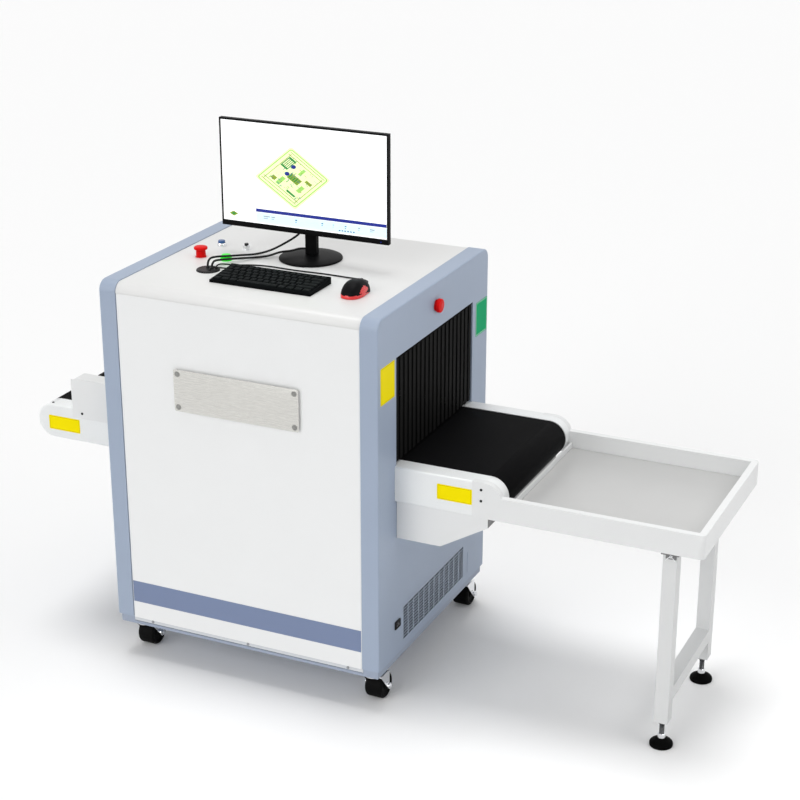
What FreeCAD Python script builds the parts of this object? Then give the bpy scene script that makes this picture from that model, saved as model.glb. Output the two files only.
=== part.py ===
import FreeCAD, Part
import math
import os
from FreeCAD import Vector

# Baggage x-ray scanner, millimetres.
# X runs along the belt towards the outfeed tray, Y runs across it, Z is up from the floor.
# The operator's front is at -Y. Shapes are laid out from the middle of the cabinet,
# and each is moved on saving so that the middle of the overall length is at x = 0.

os.makedirs("parts", exist_ok=True)

# Cabinet
body_length = 818.0
body_width = 724.0
body_top = 1114.0
frame_bottom = 103.0
frame_height = 9.0
frame_inset = 6.0
skin_bottom = 128.0
end_frame_thickness = 50.0
corner_radius = 30.0
panel_inset = 2.0
panel_thickness = 20.0
lip_height = 12.0
lip_inset = 3.0
frame_edge_radius = 4.0
panel_edge_radius = 4.0

# Tunnel
tunnel_width = 505.0
tunnel_top = 984.0
liner_thickness = 8.0

# Conveyor
conveyor_half_length = 710.0
rail_top = 686.5
rail_height = 99.5
rail_width = 49.5
rail_proud = 9.5
belt_side_gap = 2.5
rail_edge_radius = 5.0
belt_drop = 0.5
belt_thickness = 3.0
bed_thickness = 8.0
roller_clearance = 0.3
roller_shaft_radius = 10.0

# Infeed guards
guard_length = 182.0
guard_top = 776.0
guard_corner_radius = 18.0

# Drive housing under the outfeed
housing_inset = 10.0
housing_bottom = 478.0
housing_flat_length = 126.0
housing_end_gap = 42.0
housing_nose_height = 31.0

# Outfeed tray
tray_end = 1240.0
tray_seam = 627.0
tray_wall_top = 651.0
tray_wall_thickness = 18.0
tray_floor_thickness = 15.0
tray_corner_radius = 14.0
tray_hem_thickness = 5.0
tray_hem_height = 16.0
tray_gap = 3.0

# Tray stand
leg_size = 38.0
leg_from_tray_end = 100.0
leg_half_spacing = 186.0
leg_bottom = 73.0
leg_brace_z = 130.0
bracket_size = 48.0
bracket_thickness = 10.0
foot_radius = 31.0
foot_rim_height = 12.0
foot_height = 22.0
foot_collar_radius = 13.0
stem_radius = 6.5
stem_nut_radius = 11.0
stem_nut_height = 8.0

# Curtains
curtain_inset = 4.5
curtain_thickness = 4.0
curtain_side_gap = 5.0
curtain_guard_gap = 5.5
curtain_bottom_gap = 6.0
curtain_bar_radius = 3.0
curtain_bar_drop = 4.5
curtain_bar_gap = 0.3

# Vents in the end frames
vent_columns = 12
vent_rows = 11
slot_length = 28.5
slot_height = 4.8
slot_pitch_y = 35.0
slot_pitch_z = 9.1
vent_bottom = 155.0
vent_margin = 12.0
vent_plate_thickness = 1.2
vent_pocket_depth = 18.0

# Casters
caster_inset_x = 47.0
caster_inset_y = 62.0
wheel_radius = 37.5
wheel_width = 44.0
wheel_trail = 32.0
wheel_edge_radius = 5.0
fork_plate_thickness = 3.0
fork_gap = 5.0
mount_plate_size = 70.0
mount_plate_thickness = 5.0
swivel_radius = 24.0
swivel_gap = 0.3
crown_gap = 5.5
axle_radius = 5.0
axle_clearance = 0.3
hub_radius = 11.0
hub_gap = 1.0
axle_head_radius = 8.0
axle_head_length = 5.0

# Name plate, left blank
plate_width = 372.0
plate_bottom = 783.0
plate_height = 117.0
plate_thickness = 2.5
plate_standoff = 5.5
stud_radius = 6.0
stud_inset = 12.0
stud_head = 1.5

# Controls on the top cover
controls_left_x = -278.0
controls_right_x = -198.0
controls_front_y = -52.0
controls_rear_y = 62.0
stop_head_radius = 19.0
stop_head_height = 8.0
stop_body_radius = 13.5
stop_body_height = 16.0
stop_travel = 4.0
stop_rest_gap = 5.0
stop_stem_radius = 11.5
stop_stem_gap = 0.5
side_stop_proud = 3.0
side_stop_sunk = 10.0
side_stop_z = 1050.0
blue_radius = 10.0
blue_height = 8.0
blue_ring_radius = 13.0
blue_ring_height = 10.0
green_radius = 13.0
green_height = 9.0
green_ring_radius = 16.0
green_ring_height = 8.0
button_travel = 3.0
button_floor_gap = 1.5
button_side_gap = 0.4
button_sunk = 1.0
key_ring_radius = 10.0
key_ring_height = 13.0
key_radius = 6.0
key_height = 4.0
key_gap = 0.3

# Cable entry and power inlet
grommet_x = -195.0
grommet_y = -155.0
grommet_radius = 32.0
grommet_height = 4.0
inlet_y = -248.0
inlet_z = 220.0
inlet_width = 32.0
inlet_height = 22.0
inlet_depth = 4.0

# Monitor
monitor_x = 6.0
monitor_front_y = 20.0
monitor_width = 508.0
monitor_height = 300.0
monitor_bottom = 1190.0
monitor_slab = 14.0
monitor_bezel = 5.0
monitor_chin = 15.0
screen_thickness = 1.5
bulge_width = 300.0
bulge_bottom = 1250.0
bulge_height = 150.0
bulge_depth = 14.0
stand_y = 66.0
stand_base_radius = 88.0
stand_base_height = 10.0
neck_width = 34.0
stand_base_forward = 8.0
neck_depth = 16.0
tilt_z = 1300.0
tilt_knuckle_radius = 12.0
tilt_pin_radius = 6.0
tilt_clearance = 0.3
ear_gap = 1.0
ear_thickness = 8.0
plug_width = 22.0
plug_depth = 10.0
plug_length = 28.0
video_plug_x = -12.0

# Keyboard and mouse
keyboard_x = 12.0
keyboard_front_y = -247.0
keyboard_width = 300.0
keyboard_depth = 122.0
keyboard_front_height = 12.0
keyboard_rear_height = 22.0
mouse_x = 258.0
mouse_y = -176.0
mouse_length = 108.0
mouse_width = 62.0
mouse_height = 40.0
mouse_edge_radius = 18.0

# Worked out from the sizes above
half_length = body_length / 2
half_width = body_width / 2
frame_top = skin_bottom
half_tunnel = tunnel_width / 2
frame_inner_x = half_length - end_frame_thickness
rail_bottom = rail_top - rail_height
rail_outer_y = half_tunnel + rail_proud
rail_inner_y = rail_outer_y - rail_width
rail_centre_z = rail_top - rail_height / 2
rail_end_radius = rail_height / 2
rail_end_x = conveyor_half_length - rail_end_radius
belt_top = rail_top - belt_drop
belt_radius = belt_top - rail_centre_z
belt_inner_radius = belt_radius - belt_thickness
belt_half_width = rail_inner_y - belt_side_gap
panel_y = half_width - panel_inset
skin_corner_z = body_top - corner_radius
panel_bottom = skin_bottom - 2.0
top_z = body_top - panel_inset
tray_inner_y = rail_outer_y - tray_wall_thickness
tray_bottom = rail_bottom
tray_floor_top = tray_bottom + tray_floor_thickness
tray_floor_start = conveyor_half_length + tray_gap
middle_x = (tray_end - conveyor_half_length) / 2
housing_end = conveyor_half_length - housing_end_gap
leg_x = tray_end - leg_from_tray_end
caster_x = half_length - caster_inset_x
caster_y = half_width - caster_inset_y


def save(shape, name):
    shape.translated(Vector(-middle_x, 0, 0)).exportStep("parts/" + name + ".step")


def box(x0, x1, y0, y1, z0, z1):
    low = Vector(min(x0, x1), min(y0, y1), min(z0, z1))
    return Part.makeBox(abs(x1 - x0), abs(y1 - y0), abs(z1 - z0), low)


def rod(start, end, radius):
    start, end = Vector(*start), Vector(*end)
    return Part.makeCylinder(radius, start.distanceToPoint(end), start, end - start)


def outline(place, start, *steps):
    # A step is the next point, or a point on an arc with the arc's end
    edges = []
    last = start
    for step in steps:
        if isinstance(step[0], tuple):
            edges.append(Part.Arc(place(*last), place(*step[0]), place(*step[1])).toShape())
            last = step[1]
        else:
            edges.append(Part.LineSegment(place(*last), place(*step)).toShape())
            last = step
    if last != start:
        edges.append(Part.LineSegment(place(*last), place(*start)).toShape())
    return Part.Face(Part.Wire(edges))


def along_x(x0, x1, start, *steps):
    face = outline(lambda y, z: Vector(x0, y, z), start, *steps)
    return face.extrude(Vector(x1 - x0, 0, 0))


def along_y(y0, y1, start, *steps):
    face = outline(lambda x, z: Vector(x, y0, z), start, *steps)
    return face.extrude(Vector(0, y1 - y0, 0))


def mirror_x(shape):
    return shape.mirror(Vector(0, 0, 0), Vector(1, 0, 0))


def mirror_y(shape):
    return shape.mirror(Vector(0, 0, 0), Vector(0, 1, 0))


def both(shape, mirror):
    return Part.makeCompound([shape, mirror(shape)])


def in_plane(edge, axis, value):
    # True for an edge that lies in the plane axis = value
    bounds = edge.BoundBox
    low, high = (bounds.YMin, bounds.YMax) if axis == "y" else (bounds.XMin, bounds.XMax)
    return abs(low - value) < 0.01 and abs(high - value) < 0.01


def arc_mid(centre, radius, degrees):
    angle = math.radians(degrees)
    return (centre[0] + radius * math.cos(angle), centre[1] + radius * math.sin(angle))


# Cabinet frame: a welded ring on the casters with a floor pan between the end frames
ring_x, ring_y = half_length - frame_inset, half_width - frame_inset
ring_top = frame_bottom + frame_height
pan_y = panel_y - panel_thickness
base_frame = box(-ring_x, ring_x, -ring_y, ring_y, frame_bottom, ring_top)
base_frame = base_frame.fuse(box(-frame_inner_x, frame_inner_x, -pan_y, pan_y, ring_top, frame_top))
for side in (-1, 1):
    sill = box(side * frame_inner_x, side * ring_x, -ring_y, ring_y, ring_top, frame_top)
    base_frame = base_frame.fuse(sill)
save(base_frame.removeSplitter(), "base_frame")

# End frames: thick portals with rounded top corners round the tunnel opening
corner = half_width - corner_radius
portal = along_x(
    frame_inner_x, half_length, (-half_width, skin_bottom), (half_width, skin_bottom),
    (half_width, skin_corner_z), (arc_mid((corner, skin_corner_z), corner_radius, 45), (corner, body_top)),
    (-corner, body_top),
    (arc_mid((-corner, skin_corner_z), corner_radius, 135), (-half_width, skin_corner_z)))
outer_edges = [e for e in portal.Edges if in_plane(e, "x", half_length) and e.BoundBox.ZMax > skin_bottom + 1]
portal = portal.makeFillet(frame_edge_radius, outer_edges)
portal = portal.cut(box(frame_inner_x, half_length, -half_tunnel, half_tunnel, rail_bottom, tunnel_top))
portal = portal.cut(rod((half_length - side_stop_sunk, 0, side_stop_z), (half_length, 0, side_stop_z),
                        stop_body_radius))
vent_width = (vent_columns - 1) * slot_pitch_y + slot_length
vent_height = (vent_rows - 1) * slot_pitch_z + slot_height
vent_y = vent_width / 2 + vent_margin
vent_z0, vent_z1 = vent_bottom - vent_margin, vent_bottom + vent_height + vent_margin
portal = portal.cut(box(half_length - vent_pocket_depth, half_length, -vent_y, vent_y, vent_z0, vent_z1))
save(portal, "end_frame_right")
save(mirror_x(portal), "end_frame_left")

# Slotted vent plates, flush in their pockets
vent_plate = box(half_length - vent_plate_thickness, half_length, -vent_y, vent_y, vent_z0, vent_z1)
slots = []
for column in range(vent_columns):
    for row in range(vent_rows):
        y = -vent_width / 2 + column * slot_pitch_y
        z = vent_bottom + row * slot_pitch_z
        slots.append(box(half_length - vent_plate_thickness - 1, half_length + 1,
                         y, y + slot_length, z, z + slot_height))
vent_plate = vent_plate.cut(Part.makeCompound(slots))
save(both(vent_plate, mirror_x), "vent_plates")

# Front and rear panels with the set-back fixing lip under each
panel = box(-frame_inner_x, frame_inner_x, -panel_y, -pan_y, panel_bottom, skin_corner_z)
panel_edges = [e for e in panel.Edges if in_plane(e, "y", -panel_y) and e.BoundBox.ZLength > 1]
panel = panel.makeFillet(panel_edge_radius, panel_edges)
lip = box(-frame_inner_x, frame_inner_x, -(panel_y - lip_inset), -pan_y,
          panel_bottom - lip_height, panel_bottom)
save(panel, "front_panel")
save(mirror_y(panel), "rear_panel")
save(both(lip, mirror_y), "panel_lips")

# Top cover, bent down over the front and rear edges
cover_radius = corner_radius - panel_inset
inner_cover_radius = cover_radius - panel_thickness
cover_under = top_z - panel_thickness
centre_front, centre_rear = (-corner, skin_corner_z), (corner, skin_corner_z)
top_cover = along_x(
    -frame_inner_x, frame_inner_x, (-panel_y, skin_corner_z),
    (arc_mid(centre_front, cover_radius, 135), (-corner, top_z)), (corner, top_z),
    (arc_mid(centre_rear, cover_radius, 45), (panel_y, skin_corner_z)), (pan_y, skin_corner_z),
    (arc_mid(centre_rear, inner_cover_radius, 45), (corner, cover_under)), (-corner, cover_under),
    (arc_mid(centre_front, inner_cover_radius, 135), (-pan_y, skin_corner_z)))
save(top_cover, "top_cover")

# Tunnel liner between the end frames
liner_y = half_tunnel + liner_thickness
wall = box(-frame_inner_x, frame_inner_x, -liner_y, -half_tunnel, rail_bottom, tunnel_top)
save(both(wall, mirror_y), "tunnel_walls")
roof = box(-frame_inner_x, frame_inner_x, -liner_y, liner_y, tunnel_top, tunnel_top + liner_thickness)
save(roof, "tunnel_roof")
ledge = box(-half_length, half_length, -half_tunnel, -rail_inner_y, rail_bottom, rail_top)
save(both(ledge, mirror_y), "tunnel_rails")


# Conveyor rails with half-round ends
def rail_profile(x_start):
    rail = along_y(
        -rail_outer_y, -rail_inner_y, (x_start, rail_bottom), (rail_end_x, rail_bottom),
        ((conveyor_half_length, rail_centre_z), (rail_end_x, rail_top)), (x_start, rail_top))
    rims = [e for e in rail.Edges if in_plane(e, "y", -rail_outer_y) and not in_plane(e, "x", x_start)]
    return rail.makeFillet(rail_edge_radius, rims)


tray_recess = box(tray_seam, conveyor_half_length, -rail_outer_y, -tray_inner_y, rail_bottom, rail_top)
rail_right = rail_profile(half_length).cut(tray_recess)
rail_left = mirror_x(rail_profile(half_length))
save(both(rail_right, mirror_y), "outfeed_rails")
save(both(rail_left, mirror_y), "infeed_rails")


# Belt, its bed and end rollers
def loop_face(radius, y0, y1):
    return along_y(
        y0, y1, (-rail_end_x, rail_centre_z - radius), (rail_end_x, rail_centre_z - radius),
        ((rail_end_x + radius, rail_centre_z), (rail_end_x, rail_centre_z + radius)),
        (-rail_end_x, rail_centre_z + radius),
        ((-rail_end_x - radius, rail_centre_z), (-rail_end_x, rail_centre_z - radius)))


belt = loop_face(belt_radius, -belt_half_width, belt_half_width)
belt = belt.cut(loop_face(belt_inner_radius, -belt_half_width, belt_half_width))
save(belt, "belt")
bed_x = rail_end_x - belt_radius - bed_thickness
bed_top = belt_top - belt_thickness
save(box(-bed_x, bed_x, -rail_inner_y, rail_inner_y, bed_top - bed_thickness, bed_top), "slider_bed")
roller_radius = belt_inner_radius - roller_clearance
rollers = []
for side in (-1, 1):
    x = side * rail_end_x
    drum = rod((x, -belt_half_width, rail_centre_z), (x, belt_half_width, rail_centre_z), roller_radius)
    shaft = rod((x, -rail_inner_y, rail_centre_z), (x, rail_inner_y, rail_centre_z), roller_shaft_radius)
    rollers.append(drum.fuse(shaft))
save(Part.makeCompound(rollers), "belt_rollers")

# Infeed guards standing on the left rails
guard_x = half_length + guard_length
guard = along_y(
    -rail_outer_y, -rail_inner_y, (-half_length, rail_top), (-half_length, guard_top),
    (-guard_x + guard_corner_radius, guard_top),
    (arc_mid((-guard_x + guard_corner_radius, guard_top - guard_corner_radius), guard_corner_radius, 135),
     (-guard_x, guard_top - guard_corner_radius)), (-guard_x, rail_top))
save(both(guard, mirror_y), "infeed_guards")

# Drive housing under the outfeed
housing_y = rail_outer_y - housing_inset
housing = along_y(
    -housing_y, housing_y, (half_length, housing_bottom), (half_length + housing_flat_length, housing_bottom),
    (housing_end, rail_bottom - housing_nose_height), (housing_end, rail_bottom), (half_length, rail_bottom))
save(housing, "drive_housing")

# Outfeed tray: two arms that lap the rails, a floor and an end wall
nose_rise = tray_wall_top - rail_centre_z
nose_x = rail_end_x + math.sqrt(rail_end_radius ** 2 - nose_rise ** 2)
nose_degrees = math.degrees(math.asin(nose_rise / rail_end_radius))
arm = along_y(
    -rail_outer_y, -tray_inner_y, (tray_seam, rail_bottom), (tray_end, rail_bottom),
    (tray_end, tray_wall_top), (nose_x, tray_wall_top),
    (arc_mid((rail_end_x, rail_centre_z), rail_end_radius, (90 + nose_degrees) / 2), (rail_end_x, rail_top)),
    (tray_seam, rail_top))
tray = arm.fuse(mirror_y(arm))
end_wall = box(tray_end - tray_wall_thickness, tray_end, -rail_outer_y, rail_outer_y,
               tray_bottom, tray_wall_top)
tray_floor = box(tray_floor_start, tray_end, -tray_inner_y, tray_inner_y, tray_bottom, tray_floor_top)
tray_hem = box(tray_floor_start, tray_floor_start + tray_hem_thickness, -tray_inner_y, tray_inner_y,
               tray_floor_top, tray_floor_top + tray_hem_height)
tray = tray.fuse([end_wall, tray_floor, tray_hem]).removeSplitter()
corner_edges = [e for e in tray.Edges
                if abs(e.BoundBox.XMin - tray_end) < 0.01 and e.BoundBox.XLength < 0.01
                and e.BoundBox.YLength < 0.01 and abs(abs(e.BoundBox.YMin) - rail_outer_y) < 0.01]
tray = tray.makeFillet(tray_corner_radius, corner_edges)
save(tray, "outfeed_tray")

# Tray stand: two square legs with a low brace, head plates, and levelling feet
leg_top = tray_bottom - bracket_thickness
half_leg = leg_size / 2
stand = box(leg_x - half_leg, leg_x + half_leg, -leg_half_spacing, leg_half_spacing,
            leg_brace_z, leg_brace_z + leg_size)
brackets, stems, pads = [], [], []
for side in (-1, 1):
    y = side * leg_half_spacing
    leg = box(leg_x - half_leg, leg_x + half_leg, y - half_leg, y + half_leg, leg_bottom, leg_top)
    stand = stand.fuse(leg)
    half_bracket = bracket_size / 2
    brackets.append(box(leg_x - half_bracket, leg_x + half_bracket, y - half_bracket, y + half_bracket,
                        leg_top, tray_bottom))
    stem = rod((leg_x, y, foot_height), (leg_x, y, leg_bottom), stem_radius)
    nut = rod((leg_x, y, leg_bottom - stem_nut_height), (leg_x, y, leg_bottom), stem_nut_radius)
    stems.append(stem.fuse(nut))
    pad = rod((leg_x, y, 0), (leg_x, y, foot_rim_height), foot_radius)
    dome = Part.makeCone(foot_radius, foot_collar_radius, foot_height - foot_rim_height,
                         Vector(leg_x, y, foot_rim_height))
    pads.append(pad.fuse(dome))
save(stand.removeSplitter(), "tray_legs")
save(Part.makeCompound(brackets), "leg_brackets")
save(Part.makeCompound(stems), "foot_stems")
save(Part.makeCompound(pads), "foot_pads")

# Curtains hanging from a bar inside each end of the tunnel
curtain_x = half_length - curtain_inset
curtain_pivot_z = tunnel_top - curtain_bar_drop
curtain_y = half_tunnel - curtain_side_gap
bar = rod((curtain_x, -half_tunnel, curtain_pivot_z), (curtain_x, half_tunnel, curtain_pivot_z),
          curtain_bar_radius)
save(both(bar, mirror_x), "curtain_bars")


def curtain(y0, y1):
    return box(curtain_x - curtain_thickness / 2, curtain_x + curtain_thickness / 2, y0, y1,
               rail_top + curtain_bottom_gap, curtain_pivot_z - curtain_bar_radius - curtain_bar_gap)


# At the infeed the swinging strips hang between the guards, and the strips behind the guards hang still
swing_y = rail_inner_y - curtain_guard_gap
save(curtain(-curtain_y, curtain_y), "curtain_right")
save(mirror_x(curtain(-swing_y, swing_y)), "curtain_left")
save(both(mirror_x(curtain(rail_inner_y, curtain_y)), mirror_y), "curtain_side_strips")

# Casters: mounting plates, swivelling forks and wheels that trail towards the rear
plates = []
fork_half = wheel_width / 2 + fork_gap
fork_outer = fork_half + fork_plate_thickness
plate_bottom_z = frame_bottom - mount_plate_thickness
crown_top = plate_bottom_z - swivel_gap
crown_bottom = 2 * wheel_radius + crown_gap
for name_x, side_x in (("left", -1), ("right", 1)):
    for name_y, side_y in (("front", -1), ("rear", 1)):
        x, y = side_x * caster_x, side_y * caster_y
        axle_y = y + wheel_trail
        half_plate = mount_plate_size / 2
        plates.append(box(x - half_plate, x + half_plate, y - half_plate, y + half_plate,
                          plate_bottom_z, frame_bottom))
        fork = rod((x, y, crown_bottom), (x, y, crown_top), swivel_radius)
        fork = fork.fuse(box(x - fork_outer, x + fork_outer, y - swivel_radius / 2, axle_y,
                             crown_bottom, crown_bottom + fork_plate_thickness))
        for side in (-1, 1):
            cheek = along_x(
                x + side * fork_half, x + side * fork_outer, (y - swivel_radius / 2, crown_bottom),
                (axle_y - axle_head_radius, wheel_radius),
                ((axle_y, wheel_radius - axle_head_radius), (axle_y + axle_head_radius, wheel_radius)),
                (axle_y + axle_head_radius, crown_bottom))
            fork = fork.fuse(cheek)
            fork = fork.fuse(rod((x + side * fork_outer, axle_y, wheel_radius),
                                 (x + side * (fork_outer + axle_head_length), axle_y, wheel_radius),
                                 axle_head_radius))
        fork = fork.fuse(rod((x - fork_half, axle_y, wheel_radius), (x + fork_half, axle_y, wheel_radius),
                             axle_radius))
        save(fork.removeSplitter(), "caster_fork_" + name_x + "_" + name_y)
        wheel = rod((x - wheel_width / 2, axle_y, wheel_radius), (x + wheel_width / 2, axle_y, wheel_radius),
                    wheel_radius)
        hub_half = fork_half - hub_gap
        wheel = wheel.makeFillet(wheel_edge_radius, wheel.Edges)
        wheel = wheel.fuse(rod((x - hub_half, axle_y, wheel_radius), (x + hub_half, axle_y, wheel_radius),
                               hub_radius))
        wheel = wheel.cut(rod((x - hub_half, axle_y, wheel_radius), (x + hub_half, axle_y, wheel_radius),
                              axle_radius + axle_clearance))
        save(wheel, "caster_wheel_" + name_x + "_" + name_y)
save(Part.makeCompound(plates), "caster_plates")

# Blank name plate on four studs
plate_y = -panel_y - plate_standoff
half_plate_width = plate_width / 2
name_plate = box(-half_plate_width, half_plate_width, plate_y - plate_thickness, plate_y,
                 plate_bottom, plate_bottom + plate_height)
studs = []
for x in (-half_plate_width + stud_inset, half_plate_width - stud_inset):
    for z in (plate_bottom + stud_inset, plate_bottom + plate_height - stud_inset):
        hole = rod((x, plate_y - plate_thickness, z), (x, plate_y, z), stud_radius)
        name_plate = name_plate.cut(hole)
        studs.append(rod((x, plate_y - plate_thickness - stud_head, z), (x, -panel_y, z), stud_radius))
save(name_plate, "name_plate")
save(Part.makeCompound(studs), "plate_studs")


# Controls: each stop is a collar with a mushroom head whose stem slides in it
def stop_button(base, direction, body_height):
    base, direction = Vector(*base), Vector(*direction)
    body_end = base + direction * body_height
    stem_depth = button_sunk + stop_travel + button_floor_gap
    body = Part.makeCylinder(stop_body_radius, body_height, base, direction)
    body = body.cut(Part.makeCylinder(stop_stem_radius + stop_stem_gap, stem_depth,
                                      body_end - direction * stem_depth, direction))
    stem_length = stop_rest_gap + button_sunk
    stem = Part.makeCylinder(stop_stem_radius, stem_length, body_end - direction * button_sunk, direction)
    head_base = body_end + direction * stop_rest_gap
    head = Part.makeCylinder(stop_head_radius, stop_head_height, head_base, direction)
    return body, head.fuse(stem).removeSplitter()


stop_bodies = []
side_base_x = half_length - side_stop_sunk
side_height = side_stop_sunk + side_stop_proud
for name, base, direction, height in (
        ("top", (controls_left_x, controls_front_y, top_z), (0, 0, 1), stop_body_height),
        ("right", (side_base_x, 0, side_stop_z), (1, 0, 0), side_height),
        ("left", (-side_base_x, 0, side_stop_z), (-1, 0, 0), side_height)):
    body, head = stop_button(base, direction, height)
    stop_bodies.append(body)
    save(head, "stop_head_" + name)
save(Part.makeCompound(stop_bodies), "stop_bodies")


def push_button(x, y, ring_radius, ring_height, cap_radius, cap_height):
    ring_top_z = top_z + ring_height
    ring = rod((x, y, top_z), (x, y, ring_top_z), ring_radius)
    well_z = ring_top_z - button_sunk - button_travel - button_floor_gap
    ring = ring.cut(rod((x, y, well_z), (x, y, ring_top_z), cap_radius + button_side_gap))
    cap = rod((x, y, ring_top_z - button_sunk), (x, y, ring_top_z - button_sunk + cap_height), cap_radius)
    return ring, cap


green_ring, green_cap = push_button(controls_right_x, controls_front_y, green_ring_radius, green_ring_height,
                                    green_radius, green_height)
blue_ring, blue_cap = push_button(controls_left_x, controls_rear_y, blue_ring_radius, blue_ring_height,
                                  blue_radius, blue_height)
save(green_cap, "green_button")
save(blue_cap, "blue_button")
key_x, key_y = controls_right_x, controls_rear_y
key_ring = rod((key_x, key_y, top_z), (key_x, key_y, top_z + key_ring_height), key_ring_radius)
save(Part.makeCompound([green_ring, blue_ring, key_ring]), "control_rings")
key_base_z = top_z + key_ring_height + key_gap
save(rod((key_x, key_y, key_base_z), (key_x, key_y, key_base_z + key_height), key_radius), "key_switch")

# Power inlet and cable grommet
save(box(half_length, half_length + inlet_depth, inlet_y - inlet_width / 2, inlet_y + inlet_width / 2,
         inlet_z - inlet_height / 2, inlet_z + inlet_height / 2), "power_inlet")
save(rod((grommet_x, grommet_y, top_z), (grommet_x, grommet_y, top_z + grommet_height), grommet_radius),
     "cable_grommet")

# Monitor: a thin case with a screen let into its front, a rear bulge and two ears on the tilt pin
half_monitor = monitor_width / 2
monitor_top = monitor_bottom + monitor_height
back_y = monitor_front_y + monitor_slab
bulge_back_y = back_y + bulge_depth
screen = box(monitor_x - half_monitor + monitor_bezel, monitor_x + half_monitor - monitor_bezel,
             monitor_front_y, monitor_front_y + screen_thickness,
             monitor_bottom + monitor_chin, monitor_top - monitor_bezel)
monitor = box(monitor_x - half_monitor, monitor_x + half_monitor, monitor_front_y, back_y,
              monitor_bottom, monitor_top)
bulge = box(monitor_x - bulge_width / 2, monitor_x + bulge_width / 2, back_y, bulge_back_y,
            bulge_bottom, bulge_bottom + bulge_height)
monitor = monitor.cut(screen).fuse(bulge)
neck_half = neck_width / 2
ear_inner = neck_half + ear_gap
for side in (-1, 1):
    ear = along_x(
        monitor_x + side * ear_inner, monitor_x + side * (ear_inner + ear_thickness),
        (bulge_back_y, tilt_z - tilt_knuckle_radius), (stand_y, tilt_z - tilt_knuckle_radius),
        ((stand_y + tilt_knuckle_radius, tilt_z), (stand_y, tilt_z + tilt_knuckle_radius)),
        (bulge_back_y, tilt_z + tilt_knuckle_radius))
    monitor = monitor.fuse(ear)
pin_ends = [(monitor_x + side * ear_inner, stand_y, tilt_z) for side in (-1, 1)]
monitor = monitor.fuse(rod(*pin_ends, tilt_pin_radius)).removeSplitter()
save(monitor, "monitor_housing")
save(screen, "monitor_screen")
plug_y = back_y + bulge_depth / 2
save(box(video_plug_x - plug_width / 2, video_plug_x + plug_width / 2, plug_y - plug_depth / 2,
         plug_y + plug_depth / 2, bulge_bottom - plug_length, bulge_bottom), "video_plug")
stand_top = top_z + stand_base_height
base_y = stand_y - stand_base_forward
save(rod((monitor_x, base_y, top_z), (monitor_x, base_y, stand_top), stand_base_radius), "monitor_base")
knuckle_ends = [(monitor_x + side * neck_half, stand_y, tilt_z) for side in (-1, 1)]
neck = box(monitor_x - neck_half, monitor_x + neck_half, stand_y - neck_depth / 2, stand_y + neck_depth / 2,
           stand_top, tilt_z)
neck = neck.fuse(rod(*knuckle_ends, tilt_knuckle_radius))
neck = neck.cut(rod(*knuckle_ends, tilt_pin_radius + tilt_clearance))
save(neck.removeSplitter(), "monitor_neck")

# Keyboard: a wedge, and a mouse
keyboard_left = keyboard_x - keyboard_width / 2
keyboard_rear = keyboard_front_y + keyboard_depth
keyboard = along_x(
    keyboard_left, keyboard_left + keyboard_width, (keyboard_front_y, top_z),
    (keyboard_rear, top_z), (keyboard_rear, top_z + keyboard_rear_height),
    (keyboard_front_y, top_z + keyboard_front_height))
save(keyboard, "keyboard")
mouse = box(mouse_x - mouse_width / 2, mouse_x + mouse_width / 2,
            mouse_y - mouse_length / 2, mouse_y + mouse_length / 2, top_z, top_z + mouse_height)
mouse = mouse.makeFillet(mouse_edge_radius, [e for e in mouse.Edges if e.BoundBox.ZMax > top_z + 1])
save(mouse, "mouse")


# Cables: straight runs joined by tangent arcs
def cable(name, radius, points):
    points = [Vector(*p) for p in points]
    edges, radii, last = [], [], points[0]
    for before, here, after in zip(points, points[1:], points[2:]):
        into, out = here - before, after - here
        shorter = min(into.Length, out.Length)
        turn = into.getAngle(out)
        arc_radius = 0.45 * shorter / math.tan(turn / 2)
        radii.append(arc_radius)
        cut = 0.45 * shorter
        into.normalize()
        out.normalize()
        start, end = here - into * cut, here + out * cut
        bisector = (out - into).normalize()
        middle = here + bisector * (arc_radius / math.cos(turn / 2) - arc_radius)
        edges.append(Part.LineSegment(last, start).toShape())
        edges.append(Part.Arc(start, middle, end).toShape())
        last = end
    edges.append(Part.LineSegment(last, points[-1]).toShape())
    path = Part.Wire(edges)
    first = points[1] - points[0]
    section = Part.Wire(Part.makeCircle(radius, points[0], first))
    tube = path.makePipeShell([section], True, False)
    ideal = math.pi * radius ** 2 * path.Length
    print(name, "length", round(path.Length), "volume ratio", round(tube.Volume / ideal, 4),
          "radii", [round(r) for r in radii])
    save(tube, name)


lead_radius = 3.0
thin_radius = 2.0
lead_z = top_z + lead_radius + 0.2
thin_z = top_z + thin_radius + 0.2
grommet_top = top_z + grommet_height
plug_end = bulge_bottom - plug_length
neck_left = monitor_x - neck_half
mouse_rear = mouse_y + mouse_length / 2
cable("video_cable", lead_radius, [
    (-201, -146, grommet_top), (-201, -146, top_z + 14), (-202, -139, top_z + 22),
    (-205, -122, top_z + 25), (-197, -95, top_z + 22), (-175, -69, top_z + 19),
    (-159, -30, top_z + 13), (-147, 6, top_z + 6), (-128, 32, top_z + 7),
    (-99, 39, top_z + 19), (-67, 40, top_z + 38), (-36, 41, top_z + 58),
    (video_plug_x, plug_y, top_z + 78), (video_plug_x, plug_y, plug_end)])
cable("power_cable", lead_radius, [
    (-187, -148, grommet_top), (-187, -148, top_z + 12), (-188, -140, top_z + 18),
    (-190, -126, top_z + 20), (-184, -101, top_z + 16), (-165, -76, top_z + 14),
    (-148, -38, top_z + 8), (-127, -4, lead_z), (-98, 12, top_z + 7),
    (-70, 24, top_z + 19), (-45, 40, top_z + 20), (-28, stand_y, top_z + 24),
    (neck_left, stand_y, top_z + 24)])
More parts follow.
